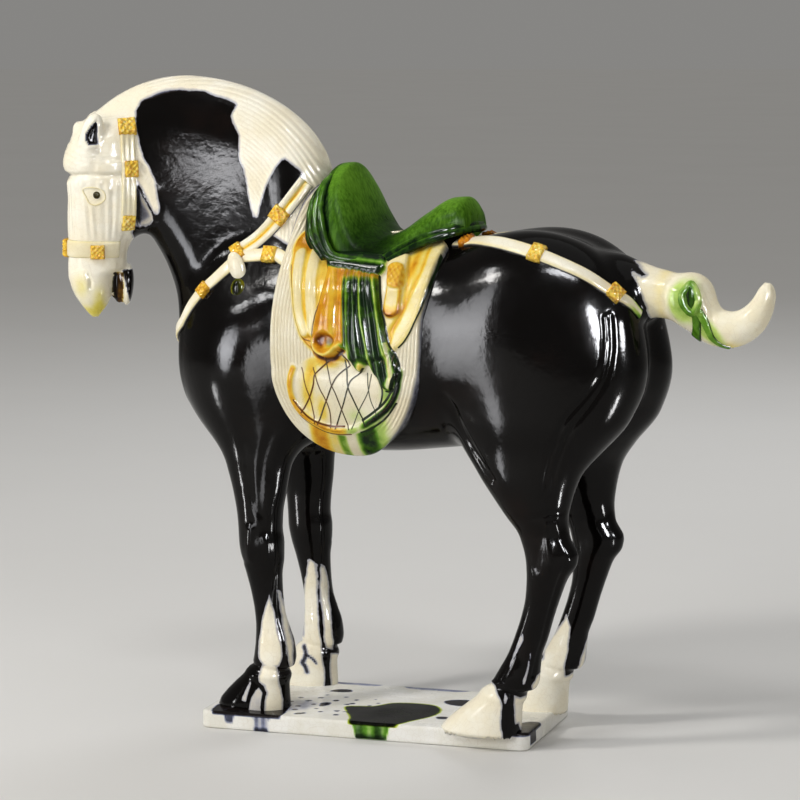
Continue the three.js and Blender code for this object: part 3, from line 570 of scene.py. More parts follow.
def landed(field, p, rounds=4, most=3.0):
    """The nearest places on a field's skin, and the way out of it there."""
    p = np.array(p, float)
    for _ in range(rounds):
        p -= slope(field, p) * np.clip(field(*p.T), -most, most)[:, None]
    return p, slope(field, p)


# From the figure's frame to the scene, in metres
def placed(p):
    t = math.radians(-HORSE_TURN)
    x = math.cos(t) * p[:, 0] - math.sin(t) * p[:, 1]
    y = math.sin(t) * p[:, 0] + math.cos(t) * p[:, 1]
    return np.stack([x * PART, y * PART, p[:, 2] * PART + PLINTH_THICKNESS * MM], axis=1)


def add_mesh(name, points, faces, material, facts=None):
    """A piece from points in metres, with per-point numbers for its material to read."""
    mesh = bpy.data.meshes.new(name)
    mesh.from_pydata(points.tolist(), [], faces if isinstance(faces, list) else faces.tolist())
    mesh.validate()
    for fact, values in (facts or {}).items():
        mesh.attributes.new(fact, "FLOAT", "POINT").data.foreach_set("value", np.asarray(values, np.float32))
    mesh.shade_smooth()
    mesh.materials.append(material)
    piece = bpy.data.objects.new(name, mesh)
    bpy.context.collection.objects.link(piece)
    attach(piece, "root")
    return piece


def sheet_faces(rows, columns, flip=False, loop=False):
    """Four-sided faces over rows of points; a loop joins each row's end to its start."""
    r, c = np.meshgrid(np.arange(rows - 1), np.arange(columns if loop else columns - 1), indexing="ij")
    d = (c + 1) % columns
    ring = [r * columns + c, r * columns + d, (r + 1) * columns + d, (r + 1) * columns + c]
    face = np.stack([q.ravel() for q in ring], axis=1)
    return face[:, ::-1] if flip else face


def mirrored(points):
    return np.array(points, float) * (1, -1, 1)


# Relief seen square on: signed distances to outlines and paths, and what rises from them
def inside(outline, u, v):
    """How deep inside a smooth closed outline each place lies, negative outside it."""
    return -loop_distance(curve(outline, closed=True), u, v)


def along(path, points):
    """Distance to a smooth open path in any number of dimensions, and the share of the path passed."""
    line = curve(path)
    nearest = np.full(len(points), ENDLESS)
    share = np.zeros(len(points))
    for i, (a, b) in enumerate(zip(line, line[1:])):
        run = b - a
        t = np.clip((points - a) @ run / (run @ run + NO_LENGTH), 0, 1)
        d = np.linalg.norm(points - a - t[:, None] * run, axis=1)
        closer = d < nearest
        nearest = np.where(closer, d, nearest)
        share = np.where(closer, (i + t) / (len(line) - 1), share)
    return nearest, share


def beside(path, u, v):
    """Signed distance to a smooth open path seen flat, and whether each place lies abreast of it."""
    line = curve(path)
    nearest = np.full(u.shape, ENDLESS)
    side = np.zeros(u.shape)
    abreast = np.zeros(u.shape)
    for i, ((au, av), (bu, bv)) in enumerate(zip(line, line[1:])):
        du, dv = bu - au, bv - av
        t = ((u - au) * du + (v - av) * dv) / (du * du + dv * dv + NO_LENGTH)
        beyond = ((t < 0) & (i == 0)) | ((t > 1) & (i == len(line) - 2))
        t = np.clip(t, 0, 1)
        d = np.hypot(u - au - du * t, v - av - dv * t)
        closer = d < nearest
        nearest = np.where(closer, d, nearest)
        side = np.where(closer, np.sign(du * (v - av) - dv * (u - au)), side)
        abreast = np.where(closer, ~beyond, abreast)
    return nearest * side, abreast


def bank(depth, rise, run):
    """A rounded step up, from an outline to its full rise a little way in."""
    t = np.clip(depth / run, 0, 1)
    return rise * np.sqrt(1 - (1 - t) ** 2)


def ridge(distance, half, rise):
    return rise * np.sqrt(np.clip(1 - (distance / half) ** 2, 0, 1))


def soft_step(value, low, high):
    t = np.clip((value - low) / (high - low), 0, 1)
    return t * t * (3 - 2 * t)


def bell(value, half, power=2):
    """One at zero and next to nothing two half widths away; flatter on top with a higher power."""
    return np.exp(-((value / half) ** power))


def spot(x, z, at_x, at_z, wide, high):
    """One at a place and next to nothing two half widths or heights away."""
    return np.exp(-(((x - at_x) / wide) ** 2) - ((z - at_z) / high) ** 2)


# Glazes
MIX_A = 6
MIX_B = 7
MIX_COLOUR = 2


class Nodes:
    """Short calls for building one material's nodes."""

    def __init__(self, name):
        self.material = bpy.data.materials.new(name)
        self.material.use_nodes = True
        self.tree = self.material.node_tree
        self.shader = self.tree.nodes["Principled BSDF"]

    def add(self, kind, **settings):
        node = self.tree.nodes.new(kind)
        for key, value in settings.items():
            setattr(node, key, value)
        return node

    def link(self, source, target):
        self.tree.links.new(source, target)

    def fact(self, name):
        return self.add("ShaderNodeAttribute", attribute_name=name).outputs["Fac"]

    def put(self, socket, value):
        if isinstance(value, (int, float)):
            socket.default_value = value
        elif isinstance(value, tuple):
            socket.default_value = (*value, 1.0)
        else:
            self.link(value, socket)

    def math(self, operation, a, b=0.0):
        node = self.add("ShaderNodeMath", operation=operation)
        self.put(node.inputs[0], a)
        self.put(node.inputs[1], b)
        return node.outputs[0]

    def times(self, a, b):
        return self.math("MULTIPLY", a, b)

    def step(self, value, low, high, start=0.0, stop=1.0):
        node = self.add("ShaderNodeMapRange", interpolation_type="SMOOTHSTEP")
        self.put(node.inputs["Value"], value)
        self.put(node.inputs["From Min"], low)
        self.put(node.inputs["From Max"], high)
        self.put(node.inputs["To Min"], start)
        self.put(node.inputs["To Max"], stop)
        return node.outputs["Result"]

    def mix(self, factor, a, b, blend_type="MIX"):
        node = self.add("ShaderNodeMix", data_type="RGBA", blend_type=blend_type)
        self.put(node.inputs["Factor"], factor)
        self.put(node.inputs[MIX_A], a)
        self.put(node.inputs[MIX_B], b)
        return node.outputs[MIX_COLOUR]

    def ramp(self, value, stops):
        node = self.add("ShaderNodeValToRGB")
        elements = node.color_ramp.elements
        while len(elements) < len(stops):
            elements.new(0.5)
        for element, (position, colour) in zip(elements, stops):
            element.position = position
            element.color = (*colour, 1.0)
        self.link(value, node.inputs["Fac"])
        return node.outputs["Color"]

    def stain(self, colour, depth, stops):
        """A glaze over a colour, darker with its depth."""
        return self.mix(1.0, colour, self.ramp(depth, stops), "MULTIPLY")

    def place(self, stretch=(1, 1, 1), shift=0.0):
        mapping = self.add("ShaderNodeMapping")
        mapping.inputs["Scale"].default_value = stretch
        mapping.inputs["Location"].default_value = (shift, shift * 0.7, shift * 1.3)
        self.link(self.add("ShaderNodeTexCoord").outputs["Object"], mapping.inputs["Vector"])
        return mapping.outputs["Vector"]

    def noise(self, scale, detail=3.0, roughness=0.55, stretch=(1, 1, 1), shift=0.0):
        node = self.add("ShaderNodeTexNoise")
        self.link(self.place(stretch, shift), node.inputs["Vector"])
        node.inputs["Scale"].default_value = scale
        node.inputs["Detail"].default_value = detail
        node.inputs["Roughness"].default_value = roughness
        return node.outputs["Fac"]

    def cells(self, scale, feature="DISTANCE_TO_EDGE", shift=0.0):
        node = self.add("ShaderNodeTexVoronoi", feature=feature)
        self.link(self.place(shift=shift), node.inputs["Vector"])
        node.inputs["Scale"].default_value = scale
        return node.outputs["Distance"]

    def bump(self, height, strength, distance, normal=None):
        node = self.add("ShaderNodeBump")
        node.inputs["Strength"].default_value = strength
        node.inputs["Distance"].default_value = distance
        self.link(height, node.inputs["Height"])
        if normal is not None:
            self.link(normal, node.inputs["Normal"])
        return node.outputs["Normal"]

    def surface(self, inputs):
        for name, value in inputs.items():
            self.put(self.shader.inputs[name], value)
        return self.material


CREAM = (0.82, 0.75, 0.56)
PALE_CREAM = (0.88, 0.84, 0.70)
GOLD_CREAM = (0.95, 0.80, 0.42)
BODY_CREAM = ((0.88, 0.81, 0.63), (0.94, 0.90, 0.77))
CLOTH_CREAM = ((0.74, 0.67, 0.48), (0.80, 0.75, 0.59))
SLAB_CREAM = ((0.80, 0.78, 0.70), (0.88, 0.87, 0.83))
CRAZE = (0.38, 0.27, 0.13)
BLACK_BLOOM = (0.014, 0.007, 0.005)
GRAIN_AMBER = (0.50, 0.15, 0.008)
THREAD_BROWN = (0.11, 0.035, 0.006)
THREAD_GREEN = (0.010, 0.020, 0.007)
# What each glaze lets through of the body's colour, over the share of its full depth
AMBER_DEPTH = [
    (0.0, (1, 1, 1)), (0.2, (1.0, 0.85, 0.22)), (0.42, (0.95, 0.61, 0.06)), (0.7, (0.70, 0.30, 0.012)),
    (1.0, (0.17, 0.045, 0.01)),
]
GREEN_DEPTH = [
    (0.0, (1, 1, 1)), (0.2, (0.58, 0.82, 0.28)), (0.45, (0.15, 0.38, 0.04)), (0.7, (0.048, 0.15, 0.010)),
    (1.0, (0.005, 0.020, 0.006)),
]
BLACK_DEPTH = [
    (0.0, (1, 1, 1)), (0.12, (0.60, 0.62, 0.74)), (0.22, (0.30, 0.33, 0.50)), (0.35, (0.08, 0.09, 0.15)),
    (0.65, (0.012, 0.009, 0.009)), (1.0, (0.0022, 0.0018, 0.0020)),
]
SHINE = 0.04
COAT = 0.22
COAT_ROUGHNESS = 0.075
ROUGHNESS = (0.07, 0.24)
# Unevenness of the glaze's face: size and detail of the pattern, strength, height in metres
DIMPLES = [(30, 2, 0.16, 0.0010), (210, 5, 0.24, 0.0004)]


def crisp_black(n, black):
    """Black glaze as far as the line that the fact `cream` is measured from, with a faint halo beyond."""
    wobble = n.step(n.noise(100, 4), 0.2, 0.8, -0.6, 0.6)
    edge = n.math("ADD", n.fact("cream"), wobble)
    blur = n.fact("blur")
    cover = n.step(edge, n.times(blur, -1.0), blur, 1.0, 0.0)
    halo = n.step(edge, 0.0, n.math("ADD", blur, 1.4), 0.18, 0.0)
    return n.math("MAXIMUM", n.math("MAXIMUM", black, cover), halo)


def drawn_lines(n, inks):
    """How far drawn lines cover each place."""
    drawn = 0.0
    for ink in inks:
        half = n.fact(ink + "_half")
        past = n.math("SUBTRACT", n.math("ABSOLUTE", n.fact(ink)), half)
        line = n.times(n.step(past, -0.22, 0.22, 1.0, 0.0), n.step(half, 0.05, 0.2))
        drawn = n.math("MAXIMUM", drawn, line)
    return drawn


def glaze(name, crisp=False, lines=False, inks=(), grains=0.0, dull=0.0, coat=COAT,
          creams=(CREAM, PALE_CREAM)):
    """Clear glaze over a cream body, stained by the depths of amber, green and black that facts give.

    crisp: the fact `cream` gives millimetres to the black glaze's edge, `blur` how soft the edge is.
    lines: the fact `comb` is a phase of combed lines, `combing` how strong they are.
    inks: names of sets of drawn lines, each with its facts for distance and half width, and all with `tone`.
    grains: depth of a punched, grainy face.
    dull: extra roughness.
    coat: how strongly the clear face reflects.
    creams: the body's two shades.
    """
    n = Nodes(name)
    cream = n.mix(n.step(n.noise(55, 5), 0.35, 0.68), *creams)
    cream = n.mix(n.step(n.cells(300), 0.0, 0.045, 0.13, 0.0), cream, CRAZE)
    uneven = n.step(n.noise(170, 4), 0.2, 0.8, 0.72, 1.25)
    colour = n.stain(cream, n.times(n.fact("amber"), uneven), AMBER_DEPTH)
    colour = n.stain(colour, n.times(n.fact("green"), uneven), GREEN_DEPTH)
    black = n.times(n.fact("black"), uneven)
    if crisp:
        black = crisp_black(n, black)
    colour = n.stain(colour, black, BLACK_DEPTH)
    bloom = n.times(n.step(n.noise(28, 5, shift=3.0), 0.5, 0.85, 0.0, 0.4), black)
    colour = n.mix(bloom, colour, BLACK_BLOOM)
    normal = None
    for size, detail, strength, height in DIMPLES:
        normal = n.bump(n.noise(size, detail), strength, height, normal)
    if lines:
        wave = n.times(n.math("SINE", n.fact("comb")), n.fact("combing"))
        normal = n.bump(wave, 0.55, 0.0005, normal)
        colour = n.mix(n.step(wave, -0.8, -0.1, 0.22, 0.0), colour, CRAZE)
    if inks:
        drawn = drawn_lines(n, inks)
        colour = n.mix(drawn, colour, n.mix(n.fact("tone"), THREAD_BROWN, THREAD_GREEN))
        normal = n.bump(n.math("SUBTRACT", 1.0, drawn), 0.3, 0.0005, normal)
    if grains:
        grain = n.cells(520, "F1")
        normal = n.bump(grain, 0.9, grains, normal)
        colour = n.mix(n.step(grain, 0.45, 0.85, 0.0, 0.6), colour, GRAIN_AMBER)
    smooth, rough = ROUGHNESS
    return n.surface({
        "Base Color": colour,
        "Roughness": n.step(n.noise(34, 6), 0.3, 0.72, smooth + dull, rough + dull),
        "Specular IOR Level": SHINE,
        "Coat Weight": coat,
        "Coat Roughness": COAT_ROUGHNESS + 0.3 * dull,
        "Normal": normal,
        "Coat Normal": normal,
    })


INKS = ("down", "up", "edge")
BODY_GLAZE = glaze("body_glaze", crisp=True, lines=True, creams=BODY_CREAM)
DRESS_GLAZE = glaze("dress_glaze", lines=True)
GOLD_GLAZE = glaze("gold_glaze", grains=0.0012, coat=0.5, creams=(GOLD_CREAM, PALE_CREAM))
SLAB_GLAZE = glaze("slab_glaze", dull=0.06, coat=0.12, creams=SLAB_CREAM)
CLOTH_GLAZE = glaze("cloth_glaze", lines=True, inks=INKS, creams=CLOTH_CREAM)


def plain_facts(count, **given):
    facts = {name: np.zeros(count) for name in ("amber", "green", "black", "comb", "combing")}
    facts.update({name: np.broadcast_to(value, count) for name, value in given.items()})
    return facts


# Where the body's glazes lie. Legs are drawn as seen from the camera: h runs across the view, z up
VIEW_TURN = math.radians(25.6)
NECK_CREAM = [
    (-200, 400), (20, 400), (20, 262), (-48, 262), (-60, 268), (-57, 283), (-44, 301), (-55, 311),
    (-62, 299), (-65, 291), (-69, 277), (-72, 277), (-76, 290), (-78, 301), (-82, 311), (-83, 323),
    (-89, 334), (-87, 340), (-94, 343), (-107, 347), (-120, 348), (-130, 347), (-141, 342), (-146, 330),
    (-200, 330),
]
NEAR_FORE_CREAM = [
    [(-66.3, 67.3), (-68.9, 57.9), (-71.2, 49.4), (-72.8, 36), (-72.8, 29.3), (-69.7, 25.3), (-66.7, 24.5),
     (-60.1, 24.7), (-58.3, 31.2), (-59, 37.9), (-60.8, 43.8), (-63.4, 55.6), (-65.7, 67.4)],
    [(-62, 68.5), (-60.1, 68.1), (-58, 60.4), (-55.1, 48.3), (-52.9, 37.9), (-52.4, 28), (-53, 23.5),
     (-54.4, 22.8), (-55.4, 25.2), (-56.5, 35.9), (-58.7, 46.2), (-60.1, 55.2)],
    [(-70.2, 26.4), (-71.8, 22.5), (-72.8, 19.2), (-72.3, 16), (-69.4, 14.2), (-67.8, 10), (-69.4, 5.2),
     (-69.4, -3), (-58.6, -3), (-58.6, 6.2), (-59.6, 12.7), (-61.2, 22.8), (-61.0, 26.4), (-66, 28)],
]
# grey over the near fore hoof's cream; the second outline is a painted highlight streak down its toe
NEAR_FORE_GREY_AND_HIGHLIGHT = [
    [(-78.7, -3), (-76.7, 6.5), (-74.4, 11.3), (-72.3, 13.2), (-70.4, 11), (-70.4, 7.3), (-71.2, 3),
     (-71, -3)],
    [(-82, 4.9), (-79.8, 11), (-77.4, 16.2), (-76.4, 14.8), (-78.4, 9.3), (-80, 4.6)],
]
# Dark streaks in the far foreleg's cream: path in (h, z), half width, depth
FAR_FORE_STREAKS = [
    ([(-48.6, 22.9), (-47.5, 19.4), (-48.6, 15.4), (-49.7, 13.7), (-48, 11.7), (-46.9, 8.6)], 1.0, 0.6),
    ([(-46.9, 18.3), (-44.2, 16.8), (-41.5, 13.9)], 0.6, 0.6),
]
FAR_FORE_CREAM = [
    [(-46.4, 75.5), (-48.3, 61.4), (-49.6, 50), (-49.3, 34.8), (-49.6, 29), (-58, 26), (-68, 12), (-78, -3),
     (-36.5, -3), (-36.5, 12.8), (-37.5, 19.2), (-38.7, 28.5), (-39.5, 39.1), (-40.6, 49.8), (-40.7, 65.2),
     (-42, 73), (-44, 75)],
    [(-39.1, 72.3), (-36.4, 71), (-34.2, 64.4), (-33.5, 50.5), (-31.9, 38.6), (-31.1, 26.4), (-31.9, 21.1),
     (-35.7, 22.3), (-37.2, 30), (-38, 43.7), (-39.2, 58.9)],
    [(-51.9, 67.1), (-50.9, 66), (-50.3, 53.1), (-51.3, 53)],
    [(-33.5, 20), (-28, 18), (-26, -3), (-33, -3)],
]
NEAR_HIND_CREAM = [
    [(74.7, 58.1), (72.9, 55.6), (69.1, 45.2), (66.3, 36.7), (67.3, 36.1), (70.5, 44.2), (74.3, 53.1)],
    [(78.6, 47.5), (76.8, 40.3), (74.3, 31.5), (74.1, 28.6), (75.8, 29.3), (78, 37.3)],
    [(86.5, 36), (82, 33.7), (79.1, 28.2), (80.2, 23.2), (82.2, 25.9), (86.8, 28)],
    [(20, 20), (50, 31), (57, 29), (59.3, 27.3), (62.8, 20.7), (63.6, 16.2), (62.9, 10.4), (64.3, -3),
     (20, -3)],
    [(64.9, 24.5), (63.8, 20.8), (65, 16.3), (66.3, 21.1)],
    [(69.9, 22.6), (69.3, 16), (69.8, 10), (70.9, 5.8), (72.3, 5.8), (76, -3), (110, -3), (110, 22), (86, 20),
     (78, 21), (73, 21)],
]
FAR_HIND_CREAM = [
    [(101.2, 56.8), (97.9, 50.5), (94.3, 44.3), (90, 39.4), (88, 30), (80, 24), (60, 12), (60, -3), (130, -3),
     (130, 22), (108, 22), (101, 21), (100.6, 26.6), (102.6, 40.1), (103.8, 49.8)],
    [(117.8, 55.7), (115.3, 49.8), (113.1, 43.8), (108.7, 30.7), (107, 23.1), (109.7, 22.4), (111.3, 24.1),
     (114, 37.4), (116.8, 49.6)],
]
TAIL_CREAM = [
    (117, 274.6), (123, 272.6), (130, 270.4), (138, 266.6), (145, 262), (152.4, 257.6), (159.4, 252.4),
    (157.6, 251), (150.6, 255.4), (152.8, 251.4), (155.4, 247.6), (158, 241), (160, 235), (159, 229),
    (159.6, 222), (170, 205), (240, 200), (240, 280), (150, 280),
]


def deepest(outlines, u, v):
    """How deep inside any of some straight-sided outlines each place lies, negative outside them."""
    return np.max([-loop_distance(np.array(outline, float), u, v) for outline in outlines], axis=0)


def by_path(p, path, margin):
    """Marks the points within a margin of the box round a path."""
    return np.all((p > np.min(path, axis=0) - margin) & (p < np.max(path, axis=0) + margin), axis=1)


# Head's own (x, z): where its cream ends at the neck, with the hollow inside the throat strap left dark
HEAD_CREAM = [
    (-60, 90), (14, 90), (14.6, 51.1), (16.7, 41.7), (18.8, 34.8), (21.7, 29.6), (24.7, 23.1), (25.9, 18.8),
    (26.9, 10.2), (26.9, 4.5), (24.2, 1.6), (22.6, 5.2), (19.8, 11.4), (17, 17.5), (14.4, 22), (13.6, 15),
    (13.4, 4), (13.0, -3), (11.6, -7), (14, -14), (14, -90), (-60, -90),
]
EAR_HOLLOW = [(-8.0, 57.4), (-7.4, 50), (-7.3, 43.4), (-12.7, 43.2), (-14.3, 47), (-13.8, 50), (-10.9, 54)]
EYE_ALMOND = [(-17.3, 18.1), (-11.2, 19.3), (-5.2, 17.4), (-3.9, 13.2), (-8.8, 9.3), (-13.1, 10.2),
              (-15.4, 13.8)]
THROAT_HOLLOW = [(14.2, 18.5), (17.2, 14), (20.4, 8.4), (23, 4), (22.9, -0.4), (19.3, -3.4), (15.3, -4.4),
                 (12.6, -2.6), (12.8, 8)]
THROAT_RING = [(15.6, 15.8), (18.2, 11.6), (21, 6.6), (22.4, 3), (21.6, -0.6), (18.6, -2.8), (15, -3.6),
               (12.6, -2.4)]
HEAD_LINES = [
    # path on the side in (x, z), depth, half width; those of negative depth stand up
    ([(-27, 25.6), (-23, 25.8), (-18.5, 26.4), (-12, 27), (-5, 26.8), (1, 26.4), (6, 26.8)], 1.1, 0.9),
    ([(-5, 35.2), (1, 34.6), (6, 34.6)], 0.7, 0.8),
    ([(-25, 37.3), (-19.7, 34.7), (-14.9, 33), (-9.8, 32.5), (-3, 33.3)], 0.7, 0.55),
    ([(-25, 34.0), (-19.7, 31.6), (-14.9, 30.4), (-9, 30.2)], 0.6, 0.5),
    ([(-24.5, 30.4), (-18.5, 28.9), (-11, 28.8)], 0.5, 0.5),
    ([(-25, 41), (-20, 38), (-15, 36.2), (-9, 35.6)], 0.6, 0.55),
    ([(-24, 45), (-20.4, 42), (-16.4, 40), (-12, 38.6)], 0.5, 0.55),
    ([(-22, 50), (-19.4, 47), (-16.8, 44.4)], 0.45, 0.55),
    ([(13.4, 48.1), (13.4, 42.5), (13.4, 36.5), (16.2, 32.6), (18.7, 28.7), (21.7, 24.8), (25.1, 19.7)],
     1.0, 0.6),
    ([(15.5, 30), (18, 24.5), (20.8, 17), (23.2, 10), (25, 4)], -1.0, 2.4),
    ([(-14.3, -30.8), (-13.1, -33.2), (-12.7, -35.4), (-12.9, -38)], 1.1, 0.7),
    ([(-16.4, -31), (-15.6, -34), (-15.4, -38)], -0.6, 1.5),
    ([(-18.6, 19.5), (-16, 23.6), (-11.5, 24.6), (-5.5, 22.4), (-1.5, 17.5)], -0.8, 2.2),
    ([(-12.8, 42.4), (-10.6, 41.2), (-7.6, 40.4)], -0.9, 0.9),
    ([(7.5, -8), (5, -14), (3.4, -22), (4, -28)], 0.5, 1.4),
]
FLUTES_PER_RADIAN = 5.0


EDGE_REACH = 5.0
BRIDGE_START = -22


def head_relief(p):
    """Fine carving of the head, and what it does to the glaze; both sides alike."""
    x, y, z = to_head(*p.T)
    xz = np.stack([x, z], axis=1)
    aside = soft_step(np.abs(y), 3, 6)
    rise = np.zeros(len(p))
    for path, depth, half in HEAD_LINES:
        near = by_path(xz, path, EDGE_REACH)
        if near.any():
            d, _ = along(path, xz[near])
            over_bridge = half < 1.1 and path[0][0] < BRIDGE_START
            rise[near] -= depth * bell(d, half) * (1 if over_bridge else aside[near])
    roll = soft_step(z, 26.2, 27.8) * soft_step(-z, -35.2, -33.6)
    roll = roll * soft_step(x, -11, -7) * soft_step(-x, -8, -5)
    rise += 0.9 * roll * aside
    rise += 1.2 * soft_step(z, 26.2, 29) * soft_step(-z, -52, -38) * soft_step(-x, 7, 13)
    turn = np.arctan2(np.abs(y) / 17, -(x + 3) / 22)
    almond = inside(EYE_ALMOND, x, z)
    fluted = soft_step(-z, -24.5, -21) * soft_step(z, -14, -4) * soft_step(-x, -9, -1)
    fluted *= 0.55 + 0.45 * np.sin(2.3 * turn * FLUTES_PER_RADIAN + 1) * np.cos(z / 9)
    fluted *= soft_step(-almond, -0.5, 2.5)
    rise += 0.32 * fluted * np.cos(2 * math.pi * FLUTES_PER_RADIAN * turn)
    rise -= 0.35 * soft_step(almond, -0.4, 1.2) * aside
    hollow = deepest([EAR_HOLLOW], x, z)
    ear_rim = bell(hollow + 0.9, 0.9) * soft_step(-x, 7.6, 10)
    rise += (0.8 * ear_rim - bank(hollow, 3.0, 1.2)) * aside
    throat = inside(THROAT_HOLLOW, x, z)
    ring, _ = along(THROAT_RING, xz)
    rise += (1.3 * bell(ring, 1.3) - bank(throat, 2.6, 1.6)) * aside * (np.abs(x - 18) < 9)
    # dark in the throat hollow, darkest along its strap side; paler blue-grey on the raised ring, as thin
    # glaze and partly a painted highlight
    throat_depth = np.clip(0.32 + 0.6 * bell(x - 15.2, 1.1) - 0.42 * bell(ring, 2.0), 0.06, 1)
    throat_dark = soft_step(throat, -0.6, 0.4) * throat_depth
    stain = spot(x, z, -8, -46, 3.2, 7) + bell(z + 53, 4) * (x < 0)
    stain += 0.5 * spot(x, z, -18, -38, 4, 7)
    return rise, {
        "hollow": np.maximum(soft_step(hollow, 0.0, 0.6), throat_dark) * aside,
        "throat": np.where(aside > 0.5, throat, -9),
        "stain": 0.20 * stain + 0.015 * soft_step(almond, -0.8, 0.6) * aside,
        "flute": turn * FLUTES_PER_RADIAN,
        "fluted": fluted,
    }


NO_CREAM = -30
HEAD_BEFORE = -100
COMB_PITCH = 2.3


def upper_cream(x, z, hx, hz, throat):
    """How deep each place lies in the neck's cream, in the head's, and in any of neck, head and tail."""
    neck = deepest([NECK_CREAM], x, z)
    head = np.where((hz < 62) & (hx < 34), deepest([HEAD_CREAM], hx, hz), NO_CREAM)
    head = np.where(hz < 40, np.maximum(head, throat), head)
    crest = np.maximum(np.where(hz > 30, neck, NO_CREAM), head)
    cream = np.where(x < HEAD_BEFORE, crest, np.where(z > 225, neck, NO_CREAM))
    tail = np.maximum(NO_CREAM, deepest([TAIL_CREAM], x, z))
    return neck, head, np.where(x > 100, tail, cream)


def mark_legs(p, cream, black):
    """Writes in the legs' cream as it is seen from the camera, with grey on the near fore hoof, a painted
    highlight down its toe, and dark streaks.
    """
    x, y, z = p.T
    h = x * math.cos(VIEW_TURN) + y * math.sin(VIEW_TURN)
    low = z < 90
    fore = x < -10
    near = y < 0
    for outlines, part in (
        (NEAR_FORE_CREAM, fore & near),
        (FAR_FORE_CREAM, fore & ~near),
        (NEAR_HIND_CREAM, ~fore & near),
        (FAR_HIND_CREAM, ~fore & ~near),
    ):
        here = low & part
        cream[here] = deepest(outlines, h[here], z[here])
    here = low & fore & near
    # grey on the near fore hoof, with a painted highlight streak on its toe
    grey = deepest(NEAR_FORE_GREY_AND_HIGHLIGHT, h[here], z[here])
    cream[here] = np.maximum(cream[here], grey)
    black[here] = 0.11 * soft_step(grey, 0, 1)
    here = low & fore & ~near
    for path, half, depth in FAR_FORE_STREAKS:
        d, _ = along(path, np.stack([h[here], z[here]], axis=1))
        black[here] = np.maximum(black[here], depth * bell(d, half))


def tail_stains(x, y, z):
    """Depths of amber and green glaze on the tail."""
    amber = 0.07 * bell(x - 168, 3.0) * (z > 225) + 0.02 + 0.16 * spot(x, z, 206, 215, 5, 3)
    spill = spot(x, z, 181, 239, 9, 12.5)
    spill = np.maximum(spill, spot(x - 191 - 0.75 * (228 - z), z, 0, 224, 7, 10))
    green = 0.30 * soft_step(spill, 0.2, 0.8) + 0.35 * spot(x, z, 185.2, 241.5, 3.2, 6.5)
    return amber, np.where((x > 165) & (np.abs(y) > 3), green, 0)


def body_facts(p, head_marks):
    """What the body's glaze reads, from places on its skin and the marks that carving left on the head."""
    x, y, z = p.T
    hx, hy, hz = to_head(x, y, z)
    on_head = x < HEAD_BEFORE
    neck, head, cream = upper_cream(x, z, hx, hz, head_marks["throat"])
    black = np.zeros(len(p))
    mark_legs(p, cream, black)
    black = np.where(on_head, head_marks["hollow"], black)
    lip = on_head & (hz < -28.5)
    black = np.where(lip, np.maximum(black, soft_step(hx + 0.22 * (hz + 38), 7.2, 8.4)), black)
    mouth = on_head & (hz < -30) & (hx > 0.4) & (hx < 5.6) & (np.abs(hy) < 7.4)
    black = np.where(mouth, np.maximum(black, 0.30 + 0.7 * soft_step(-hx, -2.6, -1.4)), black)
    amber = np.where(mouth, 0.75, np.where(on_head, head_marks["stain"], 0))
    tail_amber, green = tail_stains(x, y, z)
    amber = np.where(x > 150, tail_amber, amber)
    green = np.where(on_head & (hz < -20), 0.3 * head_marks["stain"], green)
    round_neck = np.hypot(x + 112, z - 262) * 2 * math.pi / COMB_PITCH
    combing = soft_step(neck, 0.5, 4) * soft_step(-head, 0, 3) * (z > 262) * (1 - (on_head & (hx < 20)))
    fluting = on_head & (head_marks["fluted"] > 0.02)
    return {
        "cream": cream,
        "blur": np.where(z > 100, 0.5, 0.25) + 1.6 * spot(x, z, -132, 346, 9, 7),
        "amber": amber,
        "green": green,
        "black": black,
        "comb": np.where(fluting, head_marks["flute"] * 2 * math.pi + math.pi / 2, round_neck),
        "combing": np.where(fluting, 0.5 * head_marks["fluted"], combing * 0.55),
    }


